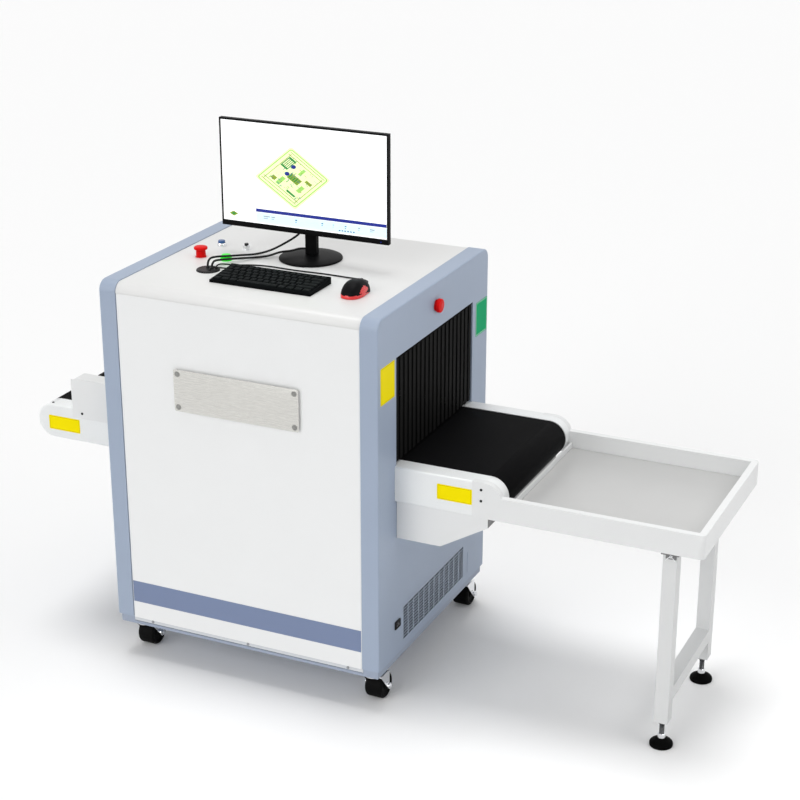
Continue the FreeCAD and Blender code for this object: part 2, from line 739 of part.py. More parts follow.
cable("mouse_cable", thin_radius, [
    (-176, -144, grommet_top), (-176, -144, top_z + 10), (-173, -135, top_z + 14),
    (-166, -118, top_z + 11), (-149, -92, thin_z), (-112, -70, thin_z),
    (-62, -60, thin_z), (-6, -64, thin_z), (50, -64, thin_z), (106, -60, thin_z),
    (160, -61, thin_z), (206, -67, top_z + 3.5), (240, -80, top_z + 8),
    (mouse_x, -98, top_z + 9), (mouse_x, mouse_rear, top_z + 9)])
cable("keyboard_cable", thin_radius, [
    (-182, -168, grommet_top), (-182, -168, top_z + 9), (-177, -161, top_z + 12),
    (-166, -149, top_z + 9.5), (-146, -126, thin_z), (-108, -104, thin_z),
    (-50, -96, thin_z), (-6, -98, top_z + 5), (keyboard_x, -110, top_z + 12),
    (keyboard_x, keyboard_rear, top_z + 12)])
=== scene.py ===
import math
import random

import bmesh
import bpy
from mathutils import Matrix, Vector


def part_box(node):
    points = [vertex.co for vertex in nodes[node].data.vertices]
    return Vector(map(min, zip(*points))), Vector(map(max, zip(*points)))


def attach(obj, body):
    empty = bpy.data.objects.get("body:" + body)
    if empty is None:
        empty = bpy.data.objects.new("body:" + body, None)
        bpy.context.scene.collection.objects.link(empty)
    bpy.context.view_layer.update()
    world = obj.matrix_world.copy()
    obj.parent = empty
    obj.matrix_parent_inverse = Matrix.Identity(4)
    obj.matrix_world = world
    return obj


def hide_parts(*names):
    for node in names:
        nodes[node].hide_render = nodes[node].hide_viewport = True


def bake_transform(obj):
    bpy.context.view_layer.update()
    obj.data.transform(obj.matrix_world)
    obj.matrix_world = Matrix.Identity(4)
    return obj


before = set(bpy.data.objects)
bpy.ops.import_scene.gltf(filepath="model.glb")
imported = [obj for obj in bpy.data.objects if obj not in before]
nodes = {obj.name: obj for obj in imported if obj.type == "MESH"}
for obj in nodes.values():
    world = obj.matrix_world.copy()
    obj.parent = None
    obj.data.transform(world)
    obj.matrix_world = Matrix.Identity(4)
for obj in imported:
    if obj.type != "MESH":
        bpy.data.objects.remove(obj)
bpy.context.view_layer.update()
scene = bpy.context.scene
scene.view_settings.view_transform = "Standard"
print("frame loaded,", len(nodes), "nodes")

# Places shared by several pieces, read from the frame
leftLow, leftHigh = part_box("end_frame_left")
rightLow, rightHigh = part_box("end_frame_right")
cabinetX = (leftLow.x + rightHigh.x) / 2
halfLength = (rightHigh.x - leftLow.x) / 2
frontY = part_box("front_panel")[0].y
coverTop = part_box("top_cover")[1].z


def local(x, y, z):
    return Vector((cabinetX + x, y, z))


# Camera at the photograph's viewpoint
view = {"place": (1.97846, -4.19262, 2.55259), "down": 0.3695, "round": 0.4335, "lens": 81.74}
camera = bpy.data.objects.new("camera", bpy.data.cameras.new("camera"))
camera.location = view["place"]
camera.rotation_euler = (math.pi / 2 - view["down"], 0, view["round"])
camera.data.lens = view["lens"]
camera.data.sensor_width = 36
camera.data.clip_end = 200
scene.collection.objects.link(camera)
scene.camera = camera


# Colours are written as red, green and blue out of 255
def paint(red, green, blue):
    values = [c / 255 for c in (red, green, blue)]
    return tuple(v / 12.92 if v < 0.04 else ((v + 0.055) / 1.055) ** 2.4 for v in values) + (1.0,)


def noiseOf(tree, coords, scale, detail=3.0, stretch=(1, 1, 1)):
    mapping = tree.nodes.new("ShaderNodeMapping")
    mapping.inputs["Scale"].default_value = stretch
    tree.links.new(coords, mapping.inputs["Vector"])
    noise = tree.nodes.new("ShaderNodeTexNoise")
    noise.inputs["Scale"].default_value = scale
    noise.inputs["Detail"].default_value = detail
    tree.links.new(mapping.outputs["Vector"], noise.inputs["Vector"])
    return noise.outputs["Fac"]


def mapped(tree, value, low, high, fromLow=0.25, fromHigh=0.75):
    node = tree.nodes.new("ShaderNodeMapRange")
    node.inputs["From Min"].default_value = fromLow
    node.inputs["From Max"].default_value = fromHigh
    node.inputs["To Min"].default_value = low
    node.inputs["To Max"].default_value = high
    tree.links.new(value, node.inputs["Value"])
    return node.outputs["Result"]


def blended(tree, factor, first, second):
    node = tree.nodes.new("ShaderNodeMix")
    node.data_type = "RGBA"
    tree.links.new(factor, node.inputs["Factor"])
    for socket, value in ((node.inputs["A"], first), (node.inputs["B"], second)):
        if hasattr(value, "is_linked"):
            tree.links.new(value, socket)
        else:
            socket.default_value = value
    return node.outputs["Result"]


def bumped(tree, height, depth, under=None):
    node = tree.nodes.new("ShaderNodeBump")
    node.inputs["Strength"].default_value = 1.0
    node.inputs["Distance"].default_value = depth
    tree.links.new(height, node.inputs["Height"])
    if under is not None:
        tree.links.new(under, node.inputs["Normal"])
    return node.outputs["Normal"]


def shaded(colour, mottle):
    return tuple(max(0.0, c * mottle) for c in colour[:3]) + (1.0,)


# One painted, moulded or metal finish: broad mottling, fine grain and a roughness that varies
def makeFinish(name, colour, rough=0.4, metal=0.0, mottle=0.04, grain=900.0, depth=0.00003, stretch=(1, 1, 1),
               roughSpread=0.08, coat=0.0, sheen=0.0, specular=0.5, broad=6.0, glow=0.0, weave=0.0):
    material = bpy.data.materials.new(name)
    material.use_nodes = True
    tree = material.node_tree
    shader = tree.nodes["Principled BSDF"]
    shader.inputs["Metallic"].default_value = metal
    shader.inputs["Specular IOR Level"].default_value = specular
    shader.inputs["Coat Weight"].default_value = coat
    shader.inputs["Coat Roughness"].default_value = 0.12
    shader.inputs["Sheen Weight"].default_value = sheen
    coords = tree.nodes.new("ShaderNodeTexCoord").outputs["Object"]
    patches = noiseOf(tree, coords, broad)
    fine = noiseOf(tree, coords, grain, 4.0, stretch)
    base = blended(tree, mapped(tree, patches, 0.0, 1.0), shaded(colour, 1 - mottle), shaded(colour, 1 + mottle))
    speck = blended(tree, mapped(tree, fine, 0.0, 1.0), shaded(colour, 1 - mottle), shaded(colour, 1 + mottle))
    half = tree.nodes.new("ShaderNodeMix")
    half.data_type = "RGBA"
    half.inputs["Factor"].default_value = 0.5
    tree.links.new(base, half.inputs["A"])
    tree.links.new(speck, half.inputs["B"])
    tree.links.new(half.outputs["Result"], shader.inputs["Base Color"])
    tree.links.new(mapped(tree, fine, rough - roughSpread, rough + roughSpread), shader.inputs["Roughness"])
    normal = bumped(tree, fine, depth)
    if weave:
        threads = None
        for direction in ("X", "Y"):
            wave = tree.nodes.new("ShaderNodeTexWave")
            wave.bands_direction = direction
            wave.inputs["Scale"].default_value = weave
            tree.links.new(coords, wave.inputs["Vector"])
            threads = wave.outputs["Fac"] if threads is None else joinedHeights(tree, threads, wave.outputs["Fac"])
        normal = bumped(tree, threads, depth * 2, normal)
    tree.links.new(normal, shader.inputs["Normal"])
    if glow:
        shader.inputs["Emission Color"].default_value = colour
        shader.inputs["Emission Strength"].default_value = glow
    return material


def joinedHeights(tree, first, second):
    node = tree.nodes.new("ShaderNodeMath")
    node.operation = "MULTIPLY"
    tree.links.new(first, node.inputs[0])
    tree.links.new(second, node.inputs[1])
    return node.outputs["Value"]


brushedX = (0.02, 1, 1)
brushedZ = (1, 1, 0.02)
finishes = {
    "cabinetWhite": makeFinish("cabinetWhite", paint(238, 239, 239), rough=0.36, mottle=0.012, grain=700, coat=0.1),
    # A darker copy of the cabinet white, painted shade against the stronger light on the cover's top
    "coverWhitePaintedShade": makeFinish("coverWhitePaintedShade", paint(227, 227, 226), rough=0.4, mottle=0.012, grain=700),
    "railWhite": makeFinish("railWhite", paint(234, 236, 236), rough=0.32, mottle=0.012, grain=700, coat=0.15),
    "trayWhite": makeFinish("trayWhite", paint(227, 228, 228), rough=0.36, mottle=0.012, grain=700, coat=0.1),
    "legWhite": makeFinish("legWhite", paint(217, 218, 218), rough=0.4, mottle=0.012, grain=700),
    "cabinetBlue": makeFinish("cabinetBlue", paint(160, 173, 193), rough=0.42, mottle=0.03, grain=800, specular=0.3),
    "stripeBlue": makeFinish("stripeBlue", paint(116, 131, 164), rough=0.42, mottle=0.02, grain=1200, depth=0.00001),
    "lipGrey": makeFinish("lipGrey", paint(208, 211, 215), rough=0.45, mottle=0.03),
    # A darker copy of the cabinet blue, painted shade for the base under the panel lips
    "baseBluePaintedShade": makeFinish("baseBluePaintedShade", paint(158, 168, 186), rough=0.45, mottle=0.04, specular=0.2),
    "linerSteel": makeFinish("linerSteel", paint(120, 122, 124), rough=0.42, metal=0.8, mottle=0.06, stretch=brushedX),
    "trayFloor": makeFinish("trayFloor", paint(193, 193, 192), rough=0.42, metal=0.2, mottle=0.05, grain=1500,
                            stretch=brushedX, depth=0.00002),
    "zinc": makeFinish("zinc", paint(150, 152, 155), rough=0.35, metal=0.9, mottle=0.08, broad=60),
    # Mid grey that stands partly as painted shade on the housing nose and the leg-top brackets
    "bracketGreyPaintedShade": makeFinish("bracketGreyPaintedShade", paint(128, 128, 128), rough=0.45, metal=0.4, mottle=0.08, broad=40),
    "chrome": makeFinish("chrome", paint(235, 236, 238), rough=0.16, metal=1.0, mottle=0.03, roughSpread=0.05,
                         depth=0.000005),
    "brushedPlate": makeFinish("brushedPlate", paint(212, 211, 206), rough=0.26, metal=0.25, mottle=0.02,
                               grain=1400, stretch=brushedX, depth=0.000006),
    "studGrey": makeFinish("studGrey", paint(150, 150, 147), rough=0.3, metal=0.7, mottle=0.05, broad=60),
    "beltBlack": makeFinish("beltBlack", paint(12, 12, 13), rough=0.6, mottle=0.15, grain=1500, depth=0.00008,
                            weave=260, specular=0.02),
    "curtainRubber": makeFinish("curtainRubber", paint(23, 23, 23), rough=0.6, mottle=0.2, grain=260, depth=0.0001,
                                specular=0.03),
    # A darker copy of the curtain rubber, painted shade for the strips behind and the bars
    "curtainPaintedShade": makeFinish("curtainPaintedShade", paint(10, 10, 10), rough=0.65, mottle=0.2, grain=260, depth=0.0001,
                               specular=0.02),
    "stopRed": makeFinish("stopRed", paint(222, 10, 10), rough=0.4, mottle=0.05, specular=0.1, depth=0.00001),
    "buttonGreen": makeFinish("buttonGreen", paint(28, 222, 22), rough=0.35, mottle=0.05, specular=0.3, glow=0.2),
    "buttonBlue": makeFinish("buttonBlue", paint(20, 80, 140), rough=0.3, mottle=0.05, coat=0.3),
    "switchBlack": makeFinish("switchBlack", paint(16, 16, 17), rough=0.42, mottle=0.1, specular=0.2),
    "monitorBlack": makeFinish("monitorBlack", paint(13, 13, 14), rough=0.45, mottle=0.1, grain=1800, depth=0.00002,
                               specular=0.05),
    "keyboardBlack": makeFinish("keyboardBlack", paint(12, 14, 15), rough=0.6, mottle=0.1, grain=2200, specular=0.02),
    "keyBlack": makeFinish("keyBlack", paint(18, 21, 22), rough=0.55, mottle=0.1, grain=2200, specular=0.03),
    "mouseBlack": makeFinish("mouseBlack", paint(13, 13, 15), rough=0.45, mottle=0.1, grain=2000, specular=0.06),
    "mouseRed": makeFinish("mouseRed", paint(228, 42, 44), rough=0.3, mottle=0.05, coat=0.2),
    "cableBlack": makeFinish("cableBlack", paint(17, 17, 18), rough=0.45, mottle=0.12, grain=1500, depth=0.00002,
                             specular=0.2),
    "footBlack": makeFinish("footBlack", paint(6, 6, 6), rough=0.6, mottle=0.15, grain=700, depth=0.00008,
                            specular=0.03),
    "tyreBlack": makeFinish("tyreBlack", paint(12, 12, 12), rough=0.6, mottle=0.15, grain=600, depth=0.00008,
                            specular=0.06),
    "threadSteel": makeFinish("threadSteel", paint(96, 97, 99), rough=0.22, metal=1.0, mottle=0.08, broad=60),
    "labelYellow": makeFinish("labelYellow", paint(250, 230, 0), rough=0.45, mottle=0.03, specular=0.04, depth=0.00001),
    "labelAmber": makeFinish("labelAmber", paint(206, 178, 6), rough=0.45, mottle=0.03, specular=0.04, depth=0.00001),
    "labelGreen": makeFinish("labelGreen", paint(0, 168, 108), rough=0.45, mottle=0.03, specular=0.04, depth=0.00001),
    "labelPale": makeFinish("labelPale", paint(206, 233, 220), rough=0.45, mottle=0.03, specular=0.04, depth=0.00001),
    # Near black, painted shade for the vent slot walls and the gauze behind them
    "ventPaintedShade": makeFinish("ventPaintedShade", paint(10, 11, 13), rough=0.8, mottle=0.2, grain=500, depth=0.0001, weave=400,
                           specular=0.02),
}
screenTints = {"screenWhite": (252, 253, 254), "screenYellow": (230, 241, 186), "screenPaleGreen": (150, 206, 96),
               "screenOlive": (128, 150, 40), "screenGreen": (20, 130, 50), "screenTeal": (34, 92, 140),
               "screenBlue": (4, 28, 128), "screenCyan": (214, 238, 246), "screenGrey": (150, 158, 168)}
for tintName, tint in screenTints.items():
    finishes[tintName] = makeFinish(tintName, paint(*tint), rough=0.25, mottle=0.004, depth=0.000002, glow=0.5)
print("finishes made:", len(finishes))


# Cords first: each follows its own route, in millimetres from the cabinet's middle as the pieces were laid out
def routePoints(route):
    return [local(x / 1000, y / 1000, coverTop + z / 1000) for x, y, z in route]


def cordCurve(name, route, radius):
    curve = bpy.data.curves.new(name, "CURVE")
    curve.dimensions = "3D"
    spline = curve.splines.new("NURBS")
    spline.points.add(len(route) - 1)
    for point, place in zip(spline.points, routePoints(route)):
        point.co = (*place, 1.0)
    spline.order_u = 3
    spline.use_endpoint_u = True
    spline.resolution_u = 12
    curve.bevel_depth = radius
    curve.bevel_resolution = 5
    curve.use_fill_caps = True
    curve.materials.append(finishes["cableBlack"])
    piece = bpy.data.objects.new(name, curve)
    scene.collection.objects.link(piece)
    return piece


def linePoints(route):
    # The smooth line of a route, as points along it
    line = cordCurve("line", route, 0.0)
    bpy.context.view_layer.update()
    mesh = bpy.data.meshes.new_from_object(line)
    points = [vertex.co.copy() for vertex in mesh.vertices]
    bpy.data.meshes.remove(mesh)
    bpy.data.objects.remove(line)
    return points


cords = {
    "leadRadius": 0.003, "thinRadius": 0.002,
    "powerLength": 0.312, "mouseLength": 0.512, "keyboardLength": 0.243, "videoLength": 0.378,
    "power": [(-187, -148, 4), (-187, -148, 12), (-188, -140, 18), (-190, -126, 20), (-184, -101, 16),
              (-165, -76, 14), (-148, -38, 8), (-127, -4, 3.2), (-98, 12, 7), (-70, 24, 19), (-45, 40, 20),
              (-28, 66, 24), (-11, 66, 24)],
    "mouse": [(-176, -144, 4), (-176, -144, 10), (-173, -135, 14), (-166, -118, 11), (-149, -92, 2.2),
              (-112, -70, 2.2), (-62, -60, 2.2), (-6, -64, 2.2), (50, -64, 2.2), (106, -60, 2.2),
              (160, -62, 2.2), (206, -67, 3.5), (240, -80, 8), (258, -98, 9), (258, -122, 9)],
    "keyboard": [(-182, -168, 4), (-182, -168, 9), (-177, -161, 12), (-166, -149, 9.5), (-146, -126, 2.2),
                 (-108, -104, 2.2), (-50, -96, 2.2), (-6, -98, 5), (12, -110, 12), (12, -125, 12)],
    "video": [(-201, -146, 4), (-201, -146, 14), (-202, -139, 22), (-205, -122, 25), (-197, -95, 22),
              (-175, -69, 19), (-159, -30, 13), (-147, 6, 6), (-128, 32, 7), (-99, 39, 19), (-67, 40, 38),
              (-36, 41, 58), (-12, 41, 78), (-12, 41, 110)],
}


def layCord(name, route, radius):
    piece = cordCurve(name, route, radius)
    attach(piece, "root")
    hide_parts(name)


layCord("power_cable", cords["power"], cords["leadRadius"])
layCord("mouse_cable", cords["mouse"], cords["thinRadius"])
layCord("keyboard_cable", cords["keyboard"], cords["thinRadius"])
print("three cords laid")


# Shapes, each a mesh in the making
def block(low, high, rim=0.0, steps=2):
    shape = bmesh.new()
    bmesh.ops.create_cube(shape, size=1.0)
    for vert in shape.verts:
        vert.co = Vector(low[i] + (vert.co[i] + 0.5) * (high[i] - low[i]) for i in range(3))
    if rim:
        bmesh.ops.bevel(shape, geom=shape.edges[:], offset=rim, segments=steps, profile=0.5, affect="EDGES")
    return shape


def ringOf(shape, radius, height, steps, turn, corners=0):
    verts = []
    for i in range(steps):
        angle = 2 * math.pi * i / steps
        reach = radius
        if corners:  # radius is then the distance to a flat side
            side = 2 * math.pi / corners
            reach = radius / math.cos((angle + side / 2) % side - side / 2)
        verts.append(shape.verts.new(turn @ Vector((reach * math.cos(angle), reach * math.sin(angle), height))))
    return verts


def turned(profile, centre, axis=(0, 0, 1), steps=48):
    # profile holds (radius, height) or (distance to flats, height, corners), from one end to the other
    shape = bmesh.new()
    turn = Vector(axis).to_track_quat("Z", "Y").to_matrix()
    rings = [ringOf(shape, entry[0], entry[1], steps, turn, entry[2] if len(entry) > 2 else 0)
             for entry in profile]
    for first, second in zip(rings, rings[1:]):
        for i in range(steps):
            j = (i + 1) % steps
            shape.faces.new((first[i], first[j], second[j], second[i]))
    shape.faces.new(rings[0][::-1])
    shape.faces.new(rings[-1])
    bmesh.ops.translate(shape, verts=shape.verts, vec=Vector(centre))
    bmesh.ops.recalc_face_normals(shape, faces=shape.faces)
    return shape


def prism(points, start, end, axis, rim=0.0, steps=2):
    # A flat outline pushed along axis; its two coordinates are the other two axes in order
    order = {"x": (1, 2, 0), "y": (0, 2, 1), "z": (0, 1, 2)}[axis]
    shape = bmesh.new()
    ends = []
    for level in (start, end):
        row = []
        for first, second in points:
            place = [0.0, 0.0, 0.0]
            place[order[0]], place[order[1]], place[order[2]] = first, second, level
            row.append(shape.verts.new(place))
        ends.append(row)
    count = len(points)
    shape.faces.new(ends[0])
    shape.faces.new(ends[1][::-1])
    for i in range(count):
        j = (i + 1) % count
        shape.faces.new((ends[0][i], ends[0][j], ends[1][j], ends[1][i]))
    bmesh.ops.recalc_face_normals(shape, faces=shape.faces)
    if rim:
        bmesh.ops.bevel(shape, geom=shape.edges[:], offset=rim, segments=steps, profile=0.5, affect="EDGES")
    return shape


def tubeAlong(points, radius, sides=14):
    shape = bmesh.new()
    rings = []
    up = None
    for i, point in enumerate(points):
        before, after = points[max(0, i - 1)], points[min(len(points) - 1, i + 1)]
        tangent = (after - before).normalized()
        if up is None:
            up = tangent.orthogonal().normalized()
        up = (up - tangent * up.dot(tangent)).normalized()
        across = tangent.cross(up)
        size = radius(i / (len(points) - 1)) if callable(radius) else radius
        rings.append([shape.verts.new(point + up * size * math.cos(a) + across * size * math.sin(a))
                      for a in (2 * math.pi * k / sides for k in range(sides))])
    for first, second in zip(rings, rings[1:]):
        for i in range(sides):
            j = (i + 1) % sides
            shape.faces.new((first[i], first[j], second[j], second[i]))
    shape.faces.new(rings[0][::-1])
    shape.faces.new(rings[-1])
    bmesh.ops.recalc_face_normals(shape, faces=shape.faces)
    return shape


def rounded(width, height, radius, steps=5):
    # Outline points of a rounded rectangle about the origin
    points = []
    for cornerX, cornerY, begin in ((1, 1, 0), (-1, 1, 90), (-1, -1, 180), (1, -1, 270)):
        for k in range(steps + 1):
            angle = math.radians(begin + 90 * k / steps)
            points.append((cornerX * (width / 2 - radius) + radius * math.cos(angle),
                           cornerY * (height / 2 - radius) + radius * math.sin(angle)))
    return points


def moved(points, first, second):
    return [(a + first, b + second) for a, b in points]


def addPart(whole, part, finish=0):
    for face in part.faces:
        face.material_index = finish
    mesh = bpy.data.meshes.new("part")
    part.to_mesh(mesh)
    part.free()
    whole.from_mesh(mesh)
    bpy.data.meshes.remove(mesh)


def makePiece(name, parts, finishNames, body="root", stands=(), crease=35):
    # parts is a list of (shape, finish number)
    whole = bmesh.new()
    for shape, finish in parts:
        addPart(whole, shape, finish)
    mesh = bpy.data.meshes.new(name)
    whole.to_mesh(mesh)
    whole.free()
    mesh.shade_smooth()
    mesh.set_sharp_from_angle(angle=math.radians(crease))
    for finishName in finishNames:
        mesh.materials.append(finishes[finishName])
    piece = bpy.data.objects.new(name, mesh)
    scene.collection.objects.link(piece)
    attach(piece, body)
    if stands:
        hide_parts(*stands)
    return piece


def boltHead(centre, axis, radius, height):
    # A socket head: rounded rim and a six-sided recess
    return turned([(radius, 0), (radius, height * 0.6), (radius * 0.93, height * 0.88), (radius * 0.8, height),
                   (radius * 0.56, height), (radius * 0.5, height * 0.98, 6), (radius * 0.5, height * 0.45, 6),
                   (radius * 0.05, height * 0.4)], centre, axis, 24)


def domeHead(centre, axis, radius, height):
    return turned([(radius, 0), (radius, height * 0.25)]
                  + [(radius * math.cos(a), height * (0.25 + 0.75 * math.sin(a)))
                     for a in (math.radians(15 * k) for k in range(1, 6))]
                  + [(radius * 0.02, height)], centre, axis, 24)


# CAD pieces whose shape is right keep it, with a finish and softened edges
def dress(names, finishName, rim=0.0, steps=2):
    for name in names:
        node = nodes[name]
        for materialSlot in node.material_slots:
            materialSlot.material = finishes[finishName]
        if rim:
            weld = node.modifiers.new("weld", "WELD")
            weld.merge_threshold = 0.00002
            bevel = node.modifiers.new("bevel", "BEVEL")
            bevel.width = rim
            bevel.segments = steps
            bevel.limit_method = "ANGLE"
            bevel.angle_limit = math.radians(40)
            bevel.harden_normals = True


dress(["end_frame_left", "end_frame_right"], "cabinetBlue", 0.003, 3)
dress(["front_panel", "rear_panel"], "cabinetWhite", 0.0012)
# The top cover takes the darker white, painted shade against the stronger light falling on top
dress(["top_cover"], "coverWhitePaintedShade", 0.0012)
dress(["drive_housing", "infeed_guards", "outfeed_tray"], "trayWhite", 0.0018)
dress(["tray_legs"], "legWhite", 0.0018)
dress(["infeed_rails", "outfeed_rails", "tunnel_rails"], "railWhite", 0.0008)
dress(["panel_lips"], "lipGrey", 0.001)
# The base frame takes the darker blue, painted shade so it reads as a shadowed recess under the lips
dress(["base_frame"], "baseBluePaintedShade", 0.0015)
dress(["tunnel_walls", "tunnel_roof", "slider_bed"], "linerSteel")
dress(["belt_rollers", "leg_brackets"], "zinc", 0.0008)
# The rubber-clad curtain bars take the darker rubber copy, painted shade in the tunnel mouth
dress(["curtain_bars"], "curtainPaintedShade")
dress(["belt"], "beltBlack", 0.0008)
dress(["monitor_neck"], "monitorBlack", 0.0015)
dress(["caster_plates"], "zinc", 0.0008)
dress(["keyboard", "mouse", "monitor_housing", "monitor_base", "video_plug", "video_cable", "power_inlet",
       "cable_grommet", "foot_pads"], "monitorBlack")
dress(["stop_bodies", "stop_head_top", "stop_head_right", "stop_head_left"], "stopRed", 0.0008)
dress(["control_rings", "plate_studs", "foot_stems"], "chrome")
dress(["key_switch"], "switchBlack")
dress(["green_button"], "buttonGreen", 0.0008)
dress(["blue_button"], "buttonBlue", 0.0008)
dress(["monitor_screen"], "screenWhite")
dress(["curtain_left", "curtain_right", "curtain_side_strips"], "curtainRubber")
for end in ("left", "right"):
    for side in ("front", "rear"):
        dress([f"caster_fork_{end}_{side}"], "chrome", 0.0006)
        dress([f"caster_wheel_{end}_{side}"], "tyreBlack")
print("carried pieces dressed")


# Painted stripe along the foot of the front and rear panels, and the screws in the lips below
stripe = {"halfWidth": 0.3555, "low": 0.177, "high": 0.241, "thick": 0.0003,
          "lipScrews": (-0.299, 0.007, 0.314), "lipHeight": 0.120, "lipY": 0.357}
lipScrews = []
for side in (-1, 1):
    faceY = side * abs(frontY)
    outerY = faceY + side * stripe["thick"]
    low = local(-stripe["halfWidth"], min(faceY - side * 0.001, outerY), stripe["low"])
    high = local(stripe["halfWidth"], max(faceY - side * 0.001, outerY), stripe["high"])
    name = "front_stripe" if side < 0 else "rear_stripe"
    makePiece(name, [(block(low, high), 0)], ["stripeBlue"])
    for x in stripe["lipScrews"]:
        place = local(x, side * stripe["lipY"], stripe["lipHeight"])
        lipScrews.append((domeHead(place, (0, side, 0), 0.0042, 0.0022), 0))
makePiece("lip_screws", lipScrews, ["zinc"])
print("stripes and lip screws made")

# Plain labels: a coloured patch with a printed rim
labels = {"thick": 0.0003, "corner": 0.003, "rimInset": 0.003, "rimWidth": 0.0012,
          "railX": (0.529, 0.627), "railZ": (0.619, 0.662), "infeedX": (-0.674, -0.570), "infeedZ": (0.611, 0.653),
          "yellowY": (-0.346, -0.262), "yellowZ": (0.883, 0.983), "greenY": (0.276, 0.357), "greenZ": (0.873, 0.972)}
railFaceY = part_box("outfeed_rails")[1].y


def flatLabel(name, axis, level, outward, first, second, finishNames):
    # first and second are the label's spans across its face
    centre = ((first[0] + first[1]) / 2, (second[0] + second[1]) / 2)
    width, height = first[1] - first[0], second[1] - second[0]
    raised = labels["thick"]

    def sheet(points, lift):
        return prism(moved(points, *centre), level - outward * 0.0002, level + outward * (raised + lift), axis)

    parts = [(sheet(rounded(width, height, labels["corner"]), 0.0), 0)]
    across, up = width / 2 - labels["rimInset"], height / 2 - labels["rimInset"]
    line = labels["rimWidth"] / 2
    for points in ([(-across, up - line), (across, up - line), (across, up + line), (-across, up + line)],
                   [(-across, -up - line), (across, -up - line), (across, -up + line), (-across, -up + line)],
                   [(-across - line, -up - line), (-across + line, -up - line), (-across + line, up + line),
                    (-across - line, up + line)],
                   [(across - line, -up - line), (across + line, -up - line), (across + line, up + line),
                    (across - line, up + line)]):
        parts.append((sheet(points, 0.00005), 1))
    return makePiece(name, parts, finishNames)


yellow, green = ["labelYellow", "labelAmber"], ["labelGreen", "labelPale"]
for side, word in ((-1, "front"), (1, "rear")):
    for spanX, spanZ, place in ((labels["railX"], labels["railZ"], "outfeed"),
                                (labels["infeedX"], labels["infeedZ"], "infeed")):
        span = tuple(cabinetX + x for x in spanX)
        flatLabel(f"rail_label_{place}_{word}", "y", side * railFaceY, side, span, spanZ, yellow)
for side, word in ((-1, "infeed"), (1, "outfeed")):
    faceX = cabinetX + side * halfLength
    flatLabel("yellow_label_" + word, "x", faceX, side, labels["yellowY"], labels["yellowZ"], yellow)
    flatLabel("green_label_" + word, "x", faceX, side, labels["greenY"], labels["greenZ"], green)
print("labels made")

# Name plate studs: round caps with a groove and a bright middle
plateLow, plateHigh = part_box("name_plate")
studs = {"inset": 0.012, "radius": 0.0078, "middle": 0.0042, "head": 0.0026, "post": 0.0045, "reach": 0.0095,
         "corner": 0.005}
plateSize = plateHigh - plateLow
plateShape = prism(moved(rounded(plateSize.x, plateSize.z, studs["corner"], 8), (plateLow.x + plateHigh.x) / 2,
                         (plateLow.z + plateHigh.z) / 2), plateLow.y, plateHigh.y, "y", 0.0003)
makePiece("blank_plate", [(plateShape, 0)], ["brushedPlate"], stands=["name_plate"])
studParts = []
for x in (plateLow.x + studs["inset"], plateHigh.x - studs["inset"]):
    for z in (plateLow.z + studs["inset"], plateHigh.z - studs["inset"]):
        cap = turned([(studs["radius"], 0), (studs["radius"], studs["head"] * 0.6),
                      (studs["radius"] - 0.0008, studs["head"]), (studs["middle"] + 0.0009, studs["head"]),
                      (studs["middle"] + 0.0004, studs["head"] * 0.6), (0.0003, studs["head"] * 0.6)],
                     (x, plateLow.y + 0.0012, z), (0, -1, 0), 32)
        studParts.append((cap, 0))
        studParts.append((domeHead((x, plateLow.y + 0.0012, z), (0, -1, 0), studs["middle"], studs["head"]), 1))
        post = turned([(studs["post"], 0), (studs["post"], studs["reach"])], (x, frontY, z), (0, -1, 0), 20)
        studParts.append((post, 0))
makePiece("plate_stud_heads", studParts, ["studGrey", "chrome"], stands=["plate_studs"])

# Near-black gauze behind the vent slots, painted shade for the dark inside of the cabinet, and a short pressed rib
# beside them
vents = {"halfWidth": 0.212, "low": 0.146, "high": 0.262, "behind": 0.008, "ribY": 0.2405, "ribLow": 0.153,
         "ribHigh": 0.219, "ribWidth": 0.0035, "ribProud": 0.0012}
gauzeShadeParts, ribParts = [], []
for side in (-1, 1):
    back = side * (halfLength - vents["behind"])
    low = local(min(back, back - side * 0.001), -vents["halfWidth"], vents["low"])
    high = local(max(back, back - side * 0.001), vents["halfWidth"], vents["high"])
    gauzeShadeParts.append((block(low, high), 0))
    face = side * halfLength
    ribEdges = sorted((face - side * 0.001, face + side * vents["ribProud"]))
    ribParts.append((block(local(ribEdges[0], vents["ribY"] - vents["ribWidth"] / 2, vents["ribLow"]),
                           local(ribEdges[1], vents["ribY"] + vents["ribWidth"] / 2, vents["ribHigh"]), 0.0008), 0))
makePiece("vent_gauze_painted_shade", gauzeShadeParts, ["ventPaintedShade"])

